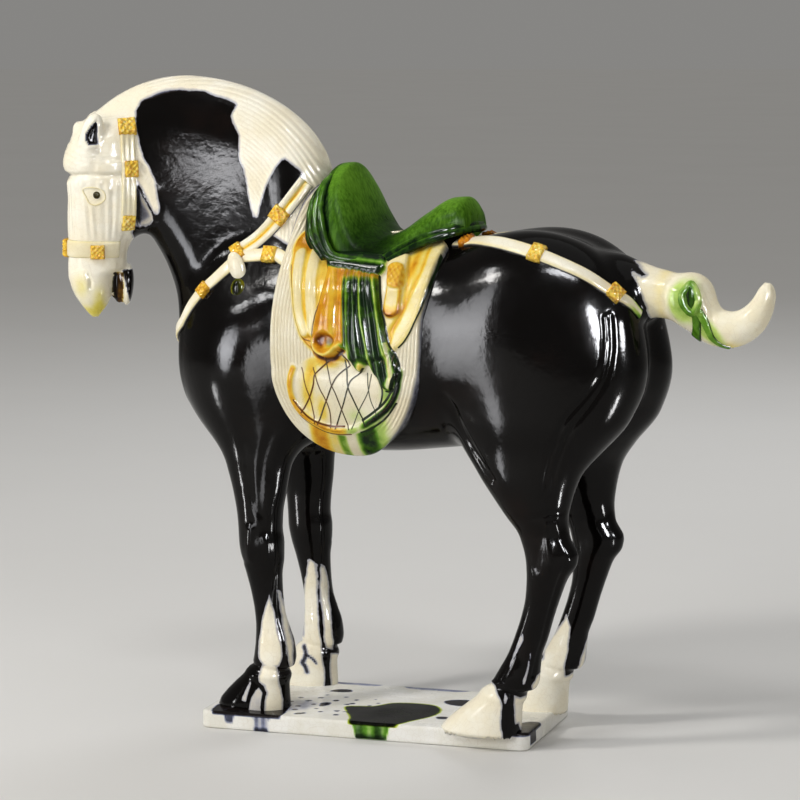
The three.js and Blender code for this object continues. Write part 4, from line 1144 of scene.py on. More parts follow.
# Creases on the body: (path, depth, half width), mirrored to the far side
CREASES = [
    ([(145.5, -34, 231.6), (146.8, -35.3, 222.5), (146.9, -37.1, 212.1), (144.5, -39.5, 198.9),
      (137.2, -42.5, 188.2), (126.9, -45, 175.9), (120.8, -43.9, 162), (116.2, -42.8, 146.7),
      (112, -40, 130)], 1.1, 1.7),
    ([(147.5, -31.8, 232.8), (149.2, -33.6, 222.4), (149.7, -35.3, 212), (147.6, -38.3, 198),
      (141, -41.3, 186), (131.5, -43.5, 173), (125, -42.4, 161), (120, -41.5, 146.8), (116, -39, 130)],
     1.1, 1.7),
    ([(54.8, -42.1, 184.9), (60.2, -40.9, 178.3), (62.2, -39.7, 171.4), (67.5, -38.9, 162.1),
      (77.6, -41.4, 149.4), (84.1, -42.7, 141.2)], 1.2, 3.0),
    # hind cannon's tendon, streaks on the hock
    ([(124.7, -37.8, 95.9), (119.3, -36.4, 82), (114.8, -35.9, 66.3), (110.5, -35.2, 50), (106, -36, 34)],
     0.9, 1.4),
    ([(115.8, -40.4, 118.1), (116.7, -40.2, 106.8), (117.8, -40.3, 96.5)], -0.8, 1.9),
    ([(119.5, -38.5, 119), (122.6, -37.6, 108.7), (126.2, -35.7, 99.2)], -0.7, 1.7),
    ([(112, -41.5, 112), (110.5, -41, 103), (109.5, -40, 94)], 0.5, 2.0),
    ([(100, -41, 124), (108, -42.7, 121.4), (116, -41.1, 124.5), (122.6, -35.6, 125.1)], 0.5, 1.4),
    # forearm's muscles, knee and fore cannon's tendon
    ([(-46.8, -40.4, 156.9), (-50.8, -39.9, 143.5), (-53.4, -40.4, 126.9), (-53.9, -40.6, 112)], -0.35, 2.6),
    ([(-52.8, -41, 157), (-56.8, -41.9, 143.5), (-58.4, -42.4, 126.9), (-57.9, -42.6, 112)], 0.35, 2.4),
    ([(-68.5, -43, 150), (-65, -42.8, 132), (-61, -43.2, 114)], 0.3, 2.4),
    ([(-64.3, -43.7, 103), (-64.9, -42.9, 95), (-64.9, -42.5, 87)], -0.9, 2.4),
    ([(-55.5, -42, 98), (-54.8, -41.6, 92), (-54.5, -41.4, 86)], -0.8, 1.8),
    ([(-72, -38, 84), (-64, -41.5, 82.5), (-55, -40.5, 84), (-51, -36, 86)], 0.5, 1.4),
    ([(-50.9, -36, 88), (-50.9, -37, 78), (-52, -38.5, 67), (-52.5, -39.5, 50), (-51.5, -40.5, 33)],
     0.8, 1.1),
    # round the tail's knot
    ([(173.1, -8.2, 250.4), (171.4, -11.4, 245.5), (171, -12.4, 240.4), (172.2, -11.1, 233.7),
      (175, -8, 228)], 0.8, 1.4),
    ([(190.5, -6.9, 246.9), (193, -6.3, 241.8), (194.7, -6.3, 236.8), (197, -8, 229), (200.8, -8.5, 224),
      (204.4, -8.4, 220.6)], 0.6, 1.7),
]


CREASE_MARGIN = 6.0


def carve(p, creases):
    """Presses creases into a skin, and raises those of negative depth."""
    push = np.zeros(len(p))
    for path, depth, half in creases:
        near = by_path(p, path, CREASE_MARGIN)
        if near.any():
            d, _ = along(path, p[near])
            push[near] -= depth * bell(d, half)
    return push


def by_creases(p, creases):
    """Marks the points within reach of a crease."""
    marked = np.zeros(len(p), bool)
    for path, _, half in creases:
        reach = 2 * half + 1.5
        near = np.flatnonzero(by_path(p, path, reach))
        if len(near):
            d, _ = along(path, p[near])
            marked[near[d < reach]] = True
    return marked


# Rings round the legs: fore or hind, middle (x, z), rise per millimetre back, depth, half width
LEG_RINGS = [
    (True, (-60, 24.2), -0.14, 1.0, 1.3), (True, (-60, 19.4), -0.14, -0.6, 2.4),
    (False, (90, 25.4), -0.16, 1.1, 1.4), (False, (90, 20.2), -0.16, -0.8, 2.4),
]
# Faces below this height, as near as this to the head or by a crease are split in four
FINE_BELOW = 64.0
FINE_BY_HEAD = 5


def ring_legs(p):
    """Presses a groove in above each hoof and swells its coronet."""
    push = np.zeros(len(p))
    for fore, (x0, z0), slant, depth, half in LEG_RINGS:
        level = p[:, 2] - z0 - slant * (p[:, 0] - x0)
        push -= depth * bell(level, half) * ((p[:, 0] < 0) == fore)
    return push


def refined(points, faces, chosen):
    """Splits chosen four-sided faces in four; their neighbours take the new points into their rims."""
    pairs = np.sort(np.stack([faces, np.roll(faces, -1, axis=1)], axis=2), axis=2)
    keys = pairs[..., 0] * len(points) + pairs[..., 1]
    split = np.unique(keys[chosen])
    middle = (points[split // len(points)] + points[split % len(points)]) / 2
    number = np.searchsorted(split, keys).clip(0, len(split) - 1)
    on_split = split[number] == keys
    edge_point = len(points) + number
    centres = points[faces[chosen]].mean(axis=1)
    first_centre = len(points) + len(split)
    kept = []
    for face, cut, extra in zip(faces[~chosen], on_split[~chosen], edge_point[~chosen]):
        ring = []
        for corner, is_cut, new in zip(face, cut, extra):
            ring.append(int(corner))
            if is_cut:
                ring.append(int(new))
        kept.append(ring)
    f, e = faces[chosen], edge_point[chosen]
    c = first_centre + np.arange(len(f))
    quads = [np.stack([f[:, k], e[:, k], c, e[:, k - 1]], axis=1) for k in range(4)]
    return np.concatenate([points, middle, centres]), kept + np.concatenate(quads).tolist()


BODY_BOX = ((-216, -74, -4), (236, 74, 364))
CARVED_HEAD_BEFORE = -112


def make_body():
    points, faces = skin(body_field, *BODY_BOX, GRID_STEP)
    creases = CREASES + [(mirrored(path), depth, half) for path, depth, half in CREASES]
    middle = points[faces].mean(axis=1)
    detailed = (head_field(*middle.T) < FINE_BY_HEAD) | (middle[:, 2] < FINE_BELOW)
    points, faces = refined(points, faces, detailed | by_creases(middle, creases))
    points, out = landed(body_field, points, 3)
    rise, marks = head_relief(points)
    push = carve(points, creases) + ring_legs(points)
    push += np.where(points[:, 0] < CARVED_HEAD_BEFORE, rise, 0)
    points += out * push[:, None]
    piece = add_mesh("glazed_figure", placed(points), faces, BODY_GLAZE, body_facts(points, marks))
    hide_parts("tomb_horse")


# Cloths over the flank, in (x, z): flap, inner panel, netted field with its rim, swag, and hanging strap
FLAP = [
    (-36, 297), (-41, 291), (-45, 281), (-48, 268), (-49.5, 252), (-50, 238), (-50.3, 224), (-50, 205),
    (-49, 192), (-46.5, 181), (-42, 171), (-36, 162.5), (-28, 155), (-19, 150), (-6, 147.5), (6, 149),
    (15, 153), (23, 159.5), (30, 167), (36, 177), (40.5, 189), (42.5, 200), (43.5, 212), (43.8, 226),
    (45.5, 238), (47, 252), (48, 262), (44, 276), (20, 284), (-10, 290), (-28, 297),
]
FLAP_EDGES = track([
    (145, -22, 10), (147, -24, 12), (151, -30, 18), (158, -38, 26), (168, -46, 34), (182, -51, 41),
    (198, -53, 46), (225, -53, 46.5), (250, -52, 50), (262, -51, 50), (266, -50, 30), (270, -49, 0),
    (278, -47, -10), (287, -44, -20), (298, -40, -26),
])
HANG = track([(144, 22), (146, 24), (152, 33), (164, 40.5), (178, 44), (192, 46), (200, 40)])
PANEL = [
    (-30, 290), (-34, 276), (-38.1, 270.5), (-41.7, 266), (-42.9, 259.8), (-42, 255.8), (-40.7, 248.7),
    (-38.8, 242.7), (-35.9, 234.6), (-34.1, 227.4), (-30.7, 218.2), (-26.9, 212), (-20, 207), (0, 203),
    (22, 205), (30, 209.5), (36, 215), (39, 220.2), (42.4, 226.5), (44.5, 232.6), (46.7, 244.9),
    (47.1, 252.7), (48, 262), (40, 275), (0, 290),
]
LOBES = [
    ([(-37.5, 256), (-35.3, 246), (-33, 236), (-30, 226), (-26, 217)], 3.4),
    ([(-28.5, 258), (-27, 247), (-24.6, 237), (-22.4, 228), (-20.5, 218)], 4.0),
]
RIGHT_LINES = [
    [(39.4, 260), (39.9, 252.6), (38.1, 244.6), (35.5, 236.6), (31.9, 227.2), (28, 219.9), (26, 213.5)],
    [(30.2, 255.1), (32.6, 248.5), (33.4, 240.4), (33, 232.4), (29.5, 225), (25, 218)],
]
SWAG = [
    (-17, 252), (-17, 249), (-16.6, 242), (-17.4, 234), (-18.8, 225), (-19.8, 216), (-19.8, 210),
    (-18.2, 206.4), (-15, 204.4), (-11, 203.6), (-6.8, 205), (-3.6, 207.8), (-0.2, 208.6), (1.4, 204.6),
    (3.6, 201), (6.4, 197.6), (9.4, 197.6), (11.6, 200.6), (14.2, 200.6), (16.4, 196.8), (19.4, 192),
    (22.4, 188.6), (26.4, 188), (29.4, 191.4), (31.2, 196.5), (31.4, 202), (29.4, 207), (26, 211.5),
    (22.8, 223), (19, 234.5), (15.8, 246), (15.5, 252),
]
# Over height: valleys and ridges of the swag's folds by turns, from left to right
FOLDS = track([
    (180, -18, -9, -3, -1.2, 1.5, 3, 11, 13, 17, 19.5, 21, 22.6, 26, 30, 34),
    (192, -18, -9, -3, -1.2, 1.5, 3, 8, 10, 14, 17.5, 19, 20.6, 24, 28, 32.6),
    (203, -18, -9, -3, -1.2, 1.5, 3, 5.5, 8.4, 12.5, 15.4, 17.2, 19, 22.2, 26.1, 31),
    (212, -19.8, -11, -4.8, -2.4, 0.4, 1.9, 2.6, 7.2, 10.4, 13.6, 15.6, 17.6, 20.6, 22.8, 25.8),
    (224, -19.2, -11.5, -5.6, -3.4, -0.7, 0.8, 1.8, 5.8, 7.8, 9.9, 13.1, 14.9, 18.1, 20.3, 22.7),
    (236, -17.5, -11.8, -6.4, -4.6, -2.8, -1.0, 0.5, 3.1, 5.6, 7.1, 9.3, 11.6, 13.6, 16.6, 18.8),
    (247, -16.8, -12.8, -9.6, -7.4, -5, -3.4, -1.4, 0.3, 2.6, 4.4, 6.0, 8.0, 10.4, 12.4, 15.4),
    (256, -17, -13.5, -11.5, -9.2, -7, -5, -3, -1.4, 1, 2.6, 4.4, 6.2, 9.3, 11.3, 14.2),
])
FOLD_RISE = (2.6, 1.2, 1.9, 2.2, 2.5, 2.0, 2.8)
# How pale each fold's ridge is, and how wide
FOLD_PALE = (0, 0, 0.75, 0.35, 1.0, 0.3, 1.0)
FOLD_LINE = (1, 1, 0.9, 0.6, 0.8, 0.6, 1.1)
CURL_AT = (-11.8, 212.8)
CURL_HALF = (6.4, 4.8)
CURL_LIP = [(-19.3, 213.4), (-18.4, 209.6), (-15.2, 207), (-11.1, 206), (-7, 207.8), (-4.4, 210.4),
            (-1.8, 211.4), (-0.4, 210)]
# path of a painted shadow below the lip
CURL_SHADE = [(-20.6, 209.6), (-19.2, 205.2), (-15, 203.3), (-11, 202.7), (-7, 203.6), (-4.2, 205.6),
              (-1.6, 208.2)]
SWAG_TIP = [(24.8, 213), (27.4, 203), (27.8, 196), (26, 190.6)]
SKIRT = [
    (-18.4, 255.8), (-19.2, 252.6), (-17.4, 248.9), (-8, 247.8), (0.8, 247.2), (12, 245.9), (16, 246.4),
    (19, 250), (17, 254.6), (14.6, 256.6), (-0.8, 256.6),
]
STRAP_DOWN = [
    (18.2, 252.8), (23, 256), (28.9, 256.8), (31, 250.4), (31, 244.4), (31.6, 234.4), (31.4, 229),
    (28.6, 226.6), (24, 226.6), (21.8, 229), (21.6, 240.3), (20.6, 246.5),
]
STRAP_PLATE = [(21, 250.6), (29.6, 250.6), (31.2, 241.2), (22.8, 241.2)]
RIM = [
    (-33.6, 197), (-35.6, 188), (-34.4, 179.6), (-30.6, 173.4), (-24.2, 168.4), (-14.4, 164.4), (-4, 163.8),
    (4.4, 165.8), (14.8, 171.4), (24.3, 178.6), (30.3, 188.5), (31.9, 199),
]
NET_FIELD = RIM + [(20, 205), (0, 206), (-20, 206)]
BLACK_INK = 1.0
INK_LINES = [
    # set, half width, tone from brown to near black, path in (x, z); net first
    ("down", 0.50, 0.1, [(-8.5, 203.5), (-12.6, 200.6), (-20.2, 193.5), (-21.2, 188.5), (-24.5, 180.7),
                         (-29.8, 172.4)]),
    ("down", 0.46, 0.7, [(1.9, 200), (-4.7, 195.3), (-9.4, 189.1), (-13.3, 181.3), (-20.4, 166.6)]),
    ("down", 0.46, 0.9, [(10.6, 199.5), (8.6, 197.0), (1.7, 191.2), (-0.7, 186.1), (-3.7, 178.3),
                         (-9.8, 164.8)]),
    ("down", 0.30, 0.9, [(14.6, 196), (12.5, 186.8), (5.9, 175.8), (0.4, 165.2)]),
    ("up", 0.36, 0.0, [(-28.4, 197.6), (-26, 187), (-23.8, 180.2), (-22.0, 167.0)]),
    ("up", 0.38, 0.3, [(-21.2, 198), (-20.0, 193.4), (-17.3, 186.1), (-14.5, 180.7), (-12.4, 174),
                       (-12.7, 165.0)]),
    ("up", 0.38, 0.6, [(-13.2, 203), (-12.4, 199.4), (-10.4, 189.5), (-8.1, 184.6), (-5.9, 178.2),
                       (-1.4, 164.8)]),
    ("up", 0.48, 0.9, [(-1.2, 203), (-0.4, 199), (0.1, 188.1), (2.7, 181.7), (5.7, 174.8), (9.4, 167.2)]),
    ("up", 0.30, 1.0, [(12.2, 196.8), (12.4, 190), (13.6, 181), (16.8, 173.4)]),
    ("up", 0.62, 1.0, [(19.4, 192.6), (21, 187.6), (20, 182), (17.8, 177.2)]),
    ("edge", 0.5, 0.5, [(-4.4, 207.6), (-2, 205.6), (0.2, 203.2), (1.9, 199.8)]),
    ("edge", 0.48, 0.0, [(-34, 180), (-29.6, 174.2), (-25.1, 170.2), (-19.6, 167.6), (-12, 166),
                         (-3.6, 166.3)]),
    ("edge", 0.75, BLACK_INK, [(7, 170), (14.3, 174.8), (22.4, 181.6), (28, 190.3), (30, 198)]),
    ("edge", 0.46, 0.0, [(-31.4, 171.2), (-25, 166.6), (-16.9, 162.9), (-8.9, 161.8), (-0.4, 162.4)]),
    ("edge", 0.55, BLACK_INK, [(5, 163.4), (10, 165), (16.8, 168.6), (23.4, 173.8), (29.4, 181.4)]),
    ("edge", 0.42, 0.1, [(-17.2, 250), (-17.2, 242), (-18, 234), (-19.3, 225.5), (-20.3, 216.5),
                         (-20.4, 210)]),
    ("edge", 0.55, BLACK_INK, [(15.9, 246), (19.4, 234.5), (23.2, 223), (26.2, 212.4), (29.2, 207.8),
                               (31.6, 202), (31.8, 196), (30, 190.5), (27, 187.2), (23, 187.2)]),
    ("edge", 0.42, BLACK_INK, [(47.4, 259), (46.6, 250), (44.6, 238), (42.4, 229.4), (39.9, 223.5),
                               (37.3, 218.3), (34.3, 214), (31.2, 211)]),
    ("edge", 0.3, 0.0, [(-41.4, 251), (-38.8, 242.7), (-35.9, 234.6), (-34.1, 227.4), (-30.7, 218.6),
                        (-26.9, 213.4), (-22, 212)]),
]
INK_REACH = 3.0


def ink_facts(x, z):
    """Distances to the drawn lines of each set, their half widths and tone."""
    facts = {"tone": np.zeros(x.shape)}
    for ink in INKS:
        facts[ink] = np.full(x.shape, 9.0)
        facts[ink + "_half"] = np.zeros(x.shape)
    xz = np.stack([x, z], axis=1)
    for ink, half, tone, path in INK_LINES:
        near = by_path(xz, path, INK_REACH)
        d, abreast = beside(path, x[near], z[near])
        closer = np.abs(d) < np.minimum(np.abs(facts[ink][near]), INK_REACH)
        facts[ink][near] = np.where(closer, d, facts[ink][near])
        facts[ink + "_half"][near] = np.where(closer, half * abreast, facts[ink + "_half"][near])
        facts["tone"][near] = np.where(np.abs(d) < half + 1.0, tone, facts["tone"][near])
    return facts


def swag_folds(x, z):
    """Rise over the swag's folds, and how pale each place on their ridges is."""
    rise = np.zeros(x.shape)
    pale = np.zeros(x.shape)
    for k, (high, white, wide) in enumerate(zip(FOLD_RISE, FOLD_PALE, FOLD_LINE)):
        left, top, right = (FOLDS(z, 1 + 2 * k + j) for j in range(3))
        up_left = (x - left) / np.maximum(top - left, 0.3)
        up_right = (right - x) / np.maximum(right - top, 0.3)
        fold = bank(np.where(x < top, up_left, up_right), high, 1)
        rise = np.where((x >= left) & (x < right), fold, rise)
        pale = np.maximum(pale, white * bell(x - top, wide))
    return rise, pale


def over(covered, share, value):
    return covered * (1 - share) + share * value


# Stains in the netted field: depth, middle (x, z), half width, half height
NET_AMBER = [
    (0.34, -25, 184, 3.4, 11), (0.30, -17, 175, 3.0, 7), (0.62, -13, 201.5, 8, 2.8), (0.36, -22, 195, 3, 5),
]
NET_GREEN = [(0.35, 24, 184, 3.4, 7.0), (0.12, 4, 172, 6, 4)]
PLATE_KNOBS = 2.1
FLAP_COMB_PITCH = 2.1


class FlankCloths:
    """Rise and glazes of the cloths over the flank, at places seen square on; shift moves the runs about."""

    def __init__(self, x, z, shift):
        self.x, self.z, self.run = x, z, x + shift
        self.xz = np.stack([x, z], axis=1)
        self.flap, self.panel, self.swag, self.net = (
            inside(outline, x, z) for outline in (FLAP, PANEL, SWAG, NET_FIELD)
        )
        self.field = soft_step(self.net, 0.5, 2)
        self.rim, _ = along(RIM, self.xz)
        self.rise = bank(self.flap, 4.4, 2.6) - 1.4 - 2.5 * np.clip(-self.flap, 0, 2)
        self.rise += bank(self.panel, 1.4, 1.6)
        self.amber, self.green, self.black = (np.zeros(x.shape) for _ in range(3))
        self.add_lobes()
        self.add_right_lines()
        self.add_net()
        self.add_swag()
        self.add_curl()
        self.add_strap()
        self.add_roll()

    def add_lobes(self):
        """Panel's left part, with two lobes."""
        x, z = self.x, self.z
        left = soft_step(-x, 14, 18) * soft_step(self.panel, -0.3, 0.8)
        lobes = np.zeros(x.shape)
        for path, half in LOBES:
            d, _ = along(path, self.xz)
            lobes = np.maximum(lobes, ridge(d, half, 1.0))
        self.rise += 1.7 * lobes * left
        deep = 0.27 + 0.34 * soft_step(z, 252, 262) + 0.20 * soft_step(-z, -236, -222)
        self.amber += left * (deep + 0.05 - (deep * 0.9) * soft_step(lobes, 0.25, 0.8))
        self.amber += 0.22 * bell(self.panel, 1.2) * (x < 0) * (self.panel > -2)

    def add_right_lines(self):
        """Panel's right part, with lines down it."""
        x, z = self.x, self.z
        right = soft_step(x, 20, 24) * soft_step(self.panel, -0.3, 0.8)
        for k, path in enumerate(RIGHT_LINES):
            d, _ = along(path, self.xz)
            self.amber += right * (0.34 - 0.1 * k) * bell(d, 1.1)
            self.rise -= right * 0.5 * bell(d, 0.8)
        self.amber += right * 0.5 * spot(x, z, 34.5, 253, 2.4, 7)
        self.amber += right * 0.12

    def add_net(self):
        """Netted field with its stains, its rim and the runs below."""
        x, z, run = self.x, self.z, self.run
        self.rise += ridge(self.rim, 2.3, 1.5) * soft_step(-z, -203, -198)
        dark = bell(self.rim, 1.6, 4) * soft_step(-z, -201, -196)
        self.green += dark * 0.95 * soft_step(run, 4, 11) + dark * 0.3 * bell(run - 1, 4)
        self.black += dark * 0.45 * soft_step(run, 10, 20)
        self.amber += dark * 0.55 * soft_step(-run, 1, 6)
        below = soft_step(self.rim, 1.8, 3.0) * soft_step(-self.net, 0, 1) * soft_step(-z, -176, -172)
        self.amber += below * (0.62 * bell(run + 21, 5, 4) + 0.16 * bell(run + 12, 5))
        self.green += below * 0.42 * bell(run + 7.3, 2.6, 4)
        self.green += below * 0.92 * bell(run - 8.6, 5.8, 4)
        self.green += below * 0.30 * bell(run - 17, 5)
        self.black += below * 0.2 * bell(run - 10, 3.0) * soft_step(z, 158, 166)
        for depth, *place in NET_AMBER:
            self.amber += self.field * depth * spot(x, z, *place)
        for depth, *place in NET_GREEN:
            self.green += self.field * depth * spot(x, z, *place)

    def add_swag(self):
        """Swag with its folds, green but for the first one, the top, the ridges and the tip."""
        x, z = self.x, self.z
        folds, pale = swag_folds(x, z)
        on_swag = soft_step(self.swag, -0.3, 0.5)
        high = 3.0 + 1.4 * soft_step(self.panel, 0, 1) + bank(self.swag, 2.0, 1.6)
        high = high + folds * bank(self.swag, 1, 1.5)
        self.rise = np.where(self.swag > 0, high, self.rise)
        top_end = soft_step(z, 241.5, 245.5)
        first = soft_step(-(x - FOLDS(z, 5) + 0.8), -0.6, 0.6)
        bright_side = bell(x - FOLDS(z, 3) + 2.6, 2.2)
        deep = np.maximum(first, top_end) * (0.66 - 0.24 * bright_side) + (1 - first) * 0.12 * pale
        self.amber = over(self.amber, on_swag, deep)
        deep = (1 - first) * (1 - 0.85 * top_end) * (1.08 - 0.80 * pale)
        self.green = over(self.green, on_swag, deep)
        tip, _ = along(SWAG_TIP, self.xz)
        tip = on_swag * soft_step(-tip, -(1.4 + 2.2 * soft_step(-z, -206, -196)), -0.6)
        hem = on_swag * spot(x, z, 9.4, 199.5, 3.0, 3.4)
        tongue = on_swag * spot(x, z, 1.2, 206.5, 1.7, 3.6)
        self.green *= (1 - 0.93 * tip) * (1 - 0.95 * np.clip(1.5 * hem, 0, 1)) * (1 - 0.95 * tongue)
        self.amber += 0.22 * hem

    def add_curl(self):
        """First fold's end, rolled up into a lip, with painted shade in its bowl and a painted shadow below
        it.
        """
        x, z = self.x, self.z
        off = np.hypot((x - CURL_AT[0]) / CURL_HALF[0], (z - CURL_AT[1]) / CURL_HALF[1])
        bowl = soft_step(1.0 - off, 0, 0.35)
        self.rise -= 3.4 * bowl * soft_step(self.swag, 0, 1)
        lip, share = along(CURL_LIP, self.xz)
        shade, _ = along(CURL_SHADE, self.xz)
        self.rise += 2.2 * bell(lip, 1.15)
        # darker in the bowl's upper part, under its overhang: painted shade
        deep = 0.92 - 0.45 * soft_step(-(z - 211.5), -1.5, 2.0) * soft_step(x, -15, -11)
        self.amber = over(self.amber, bowl, deep)
        self.green = over(self.green, bowl, 0.45 * spot(x, z, -9.5, 211.6, 2.0, 2.0))
        # a dark brown band below the lip: painted shadow
        self.amber = over(self.amber, bell(shade, 1.35, 4), 1.0)
        self.black += 0.22 * bell(shade, 0.9)
        on_lip = bell(lip, 0.9, 4)
        self.amber = over(self.amber, on_lip, 0.20)
        self.green = over(self.green, on_lip, 0.45 * soft_step(share, 0.75, 0.95))

    def add_strap(self):
        """Strap hanging at the right, with its plate."""
        x, z = self.x, self.z
        strap = inside(STRAP_DOWN, x, z)
        plate = inside(STRAP_PLATE, x, z)
        high = np.maximum(self.rise, 4.4 + bank(strap, 2.6, 1.3) - 0.8 * (strap < 0))
        self.rise = np.where(strap > -0.5, high, self.rise)
        edge = bell(strap - 0.6, 0.8) * soft_step(-z, -243, -239)
        deep = 0.10 + 0.5 * soft_step(-z, -233, -228) + 0.45 * edge
        self.amber = over(self.amber, soft_step(strap, -0.2, 0.6), deep)
        on_plate = soft_step(plate, -0.2, 0.4)
        knobs = np.sin(x * PLATE_KNOBS) * np.sin(z * PLATE_KNOBS)
        self.rise += bank(plate, 1.9, 0.8) + 0.5 * on_plate * knobs
        self.amber = over(self.amber, on_plate, 0.52 + 0.14 * knobs)

    def add_roll(self):
        """Roll along the swag's top, with a painted highlight along its crest."""
        skirt = inside(SKIRT, self.x, self.z)
        off = self.z - (251.6 - 0.05 * (self.x + 18))
        on_skirt = soft_step(skirt, -0.3, 0.6)
        high = 4.4 + bank(skirt, 2.4, 1.2) + ridge(off, 5.2, 3.0)
        self.rise = np.where(skirt > 0, high, self.rise)
        # paler green along the roll's crest: a painted highlight
        self.green = over(self.green, on_skirt, 1.15 - 0.75 * bell(off - 0.6, 1.0))
        self.amber *= 1 - on_skirt

    def facts(self):
        """What the cloths' glaze reads, with the flap's edge darkened and its border combed."""
        dark = 0.35 * bell(self.flap, 0.9) + 1.0 * soft_step(-self.flap, 0.3, 1.2)
        border = soft_step(self.flap, 0.8, 2.5) * (1 - soft_step(self.panel, -1.2, -0.2))
        border = border * (1 - self.field) * soft_step(self.rim, 2, 3)
        return {
            "amber": self.amber,
            "green": self.green,
            "black": self.black + dark,
            "comb": self.flap * 2 * math.pi / FLAP_COMB_PITCH,
            "combing": 0.8 * border * soft_step(self.z, 161, 173),
            **ink_facts(self.x, self.z),
        }


BEYOND_FLANK = 62.0
HALVINGS = 13


def flank(x, z):
    """How far out the skin stands from the middle plane at places seen square on."""
    inner = np.zeros(x.shape)
    outer = np.full(x.shape, BEYOND_FLANK)
    hollow = body_field(x, inner, z) > 0
    for _ in range(HALVINGS):
        y = (inner + outer) / 2
        solid = body_field(x, -y, z) < 0
        inner = np.where(solid, y, inner)
        outer = np.where(solid, outer, y)
    return np.where(hollow, 0, inner)


def blurred(grid, reach):
    """Evens out a grid of heights over a few cells."""
    weights = np.exp(-0.5 * (np.arange(-2 * reach, 2 * reach + 1) / reach) ** 2)
    weights /= weights.sum()
    for axis in (0, 1):
        padded = np.pad(grid, [(2 * reach, 2 * reach) if a == axis else (0, 0) for a in (0, 1)], mode="edge")
        steps = [np.take(padded, np.arange(k, k + grid.shape[axis]), axis=axis) for k in range(len(weights))]
        grid = sum(w * step for w, step in zip(weights, steps))
    return grid


RELIEF_STEP = 0.5
FLAP_BEYOND = 1.6
CLOTH_LEVELS = (145, 297)
CLOTH_WIDTH = 100
HANG_BELOW = 200


def make_cloths(side, name, shift):
    rows = np.arange(*CLOTH_LEVELS, RELIEF_STEP)
    count = int(CLOTH_WIDTH / RELIEF_STEP)
    t = np.linspace(0, 1, count)
    z = np.repeat(rows[:, None], count, axis=1)
    x = FLAP_EDGES(z, 1) * (1 - t) + FLAP_EDGES(z, 2) * t
    hanging = np.where(z < HANG_BELOW, HANG(z, 1), 0)
    base = np.maximum(flank(x.ravel(), z.ravel()).reshape(z.shape), hanging)
    base = blurred(base, max(1, int(1.6 / RELIEF_STEP)))
    skin_points = np.stack([x, -base, z], axis=2)
    out = np.cross(np.gradient(skin_points, axis=1), np.gradient(skin_points, axis=0))
    out /= np.linalg.norm(out, axis=2)[..., None]
    out *= np.sign(-out[..., 1:2] + TINY)
    cloths = FlankCloths(x.ravel(), z.ravel(), shift)
    rise = blurred(cloths.rise.reshape(z.shape), 1)
    points = (skin_points + out * rise[..., None]).reshape(-1, 3)
    points[:, 1] *= -side
    faces = sheet_faces(len(rows), count, flip=side < 0)
    faces = faces[np.all(cloths.flap[faces] > -FLAP_BEYOND, axis=1)]
    used, faces = np.unique(faces, return_inverse=True)
    facts = {fact: np.asarray(values)[used] for fact, values in cloths.facts().items()}
    add_mesh(name, placed(points[used]), faces.reshape(-1, 4), CLOTH_GLAZE, facts)


SADDLE = track([
    (-39.5, 284, 274, 22), (-37, 293, 265, 27), (-32, 302.5, 260, 30), (-26, 308, 257.5, 32.5),
    (-20, 308.5, 256, 34), (-15, 302, 255.5, 34.5), (-9, 288, 255, 35), (-2, 275, 255, 35),
    (7, 270, 255.5, 34.5), (16, 273, 257.5, 32.5), (30, 283, 264, 27), (43, 290.5, 271.5, 21.5),
    (50, 291, 274.5, 18), (54.5, 285, 276, 14.5),
])
SADDLE_ENDS = (-39.5, 54.5)
SADDLE_STEP = 0.8
SADDLE_AROUND = 97
SADDLE_BULGE = 0.85
SADDLE_RIMS = [
    # from the pommel's front down the near side, along the skirt and up round the cantle
    [(-27, 0, 304), (-26.4, -18.6, 299), (-26.8, -25.6, 291.5), (-25.6, -31, 282), (-22.6, -34.6, 273),
     (-19, -36.8, 264.5), (-14, -37.8, 259), (-3, -37.6, 257), (13, -36, 257), (21, -32.8, 262),
     (30, -28.6, 267.5), (40, -24.4, 271.8), (48, -19.6, 274.2), (53, -11, 275.6), (54.6, 0, 276)],
    [(-30, 0, 301), (-28, -20, 297.5), (-29.6, -24.6, 290.5), (-29.6, -29.4, 281), (-27.4, -33, 272.5),
     (-23, -36, 264.5), (-17, -38.2, 258.4), (-3, -38.2, 255.4), (14.4, -36.6, 255.2), (22, -33.4, 259.6),
     (31, -30, 264.6), (41, -26, 269), (49, -21, 271.8), (54.2, -11.6, 273.4), (56, 0, 273.8)],
    [(-33, 0, 297), (-29, -22, 294.6), (-32.4, -23.6, 289.4), (-33.4, -27.6, 281), (-32, -31, 272),
     (-27.6, -34.2, 264.6), (-20, -37.4, 257.4)],
]
RIM_RADIUS = 2.2
RIM_SIDES = 14
ROUND_RIMS = 2


def saddle_facts(p):
    """Depths of green and black glaze over the saddle."""
    x, y, z = p.T
    front = -24.8 + np.clip((298 - z) / 40, 0, 1) * 10.0
    seat = bell(x - 2, 11) * soft_step(-z, -282, -258)
    # paler along the cantle's crest: a painted highlight, where the glaze also runs thin
    crest = bell(x - 36, 12) * bell(np.abs(y) - 9, 4)
    low = soft_step(-z, -296, -262)
    below_rims = low * soft_step(x, -22, -6) * soft_step(-x, -30, -8)
    return {
        "green": 0.60 + 0.20 * low + 0.12 * seat + 0.35 * soft_step(front - x, -0.6, 1.0) - 0.12 * crest,
        "black": 0.22 * below_rims + 0.22 * seat * soft_step(-z, -268, -257),
    }


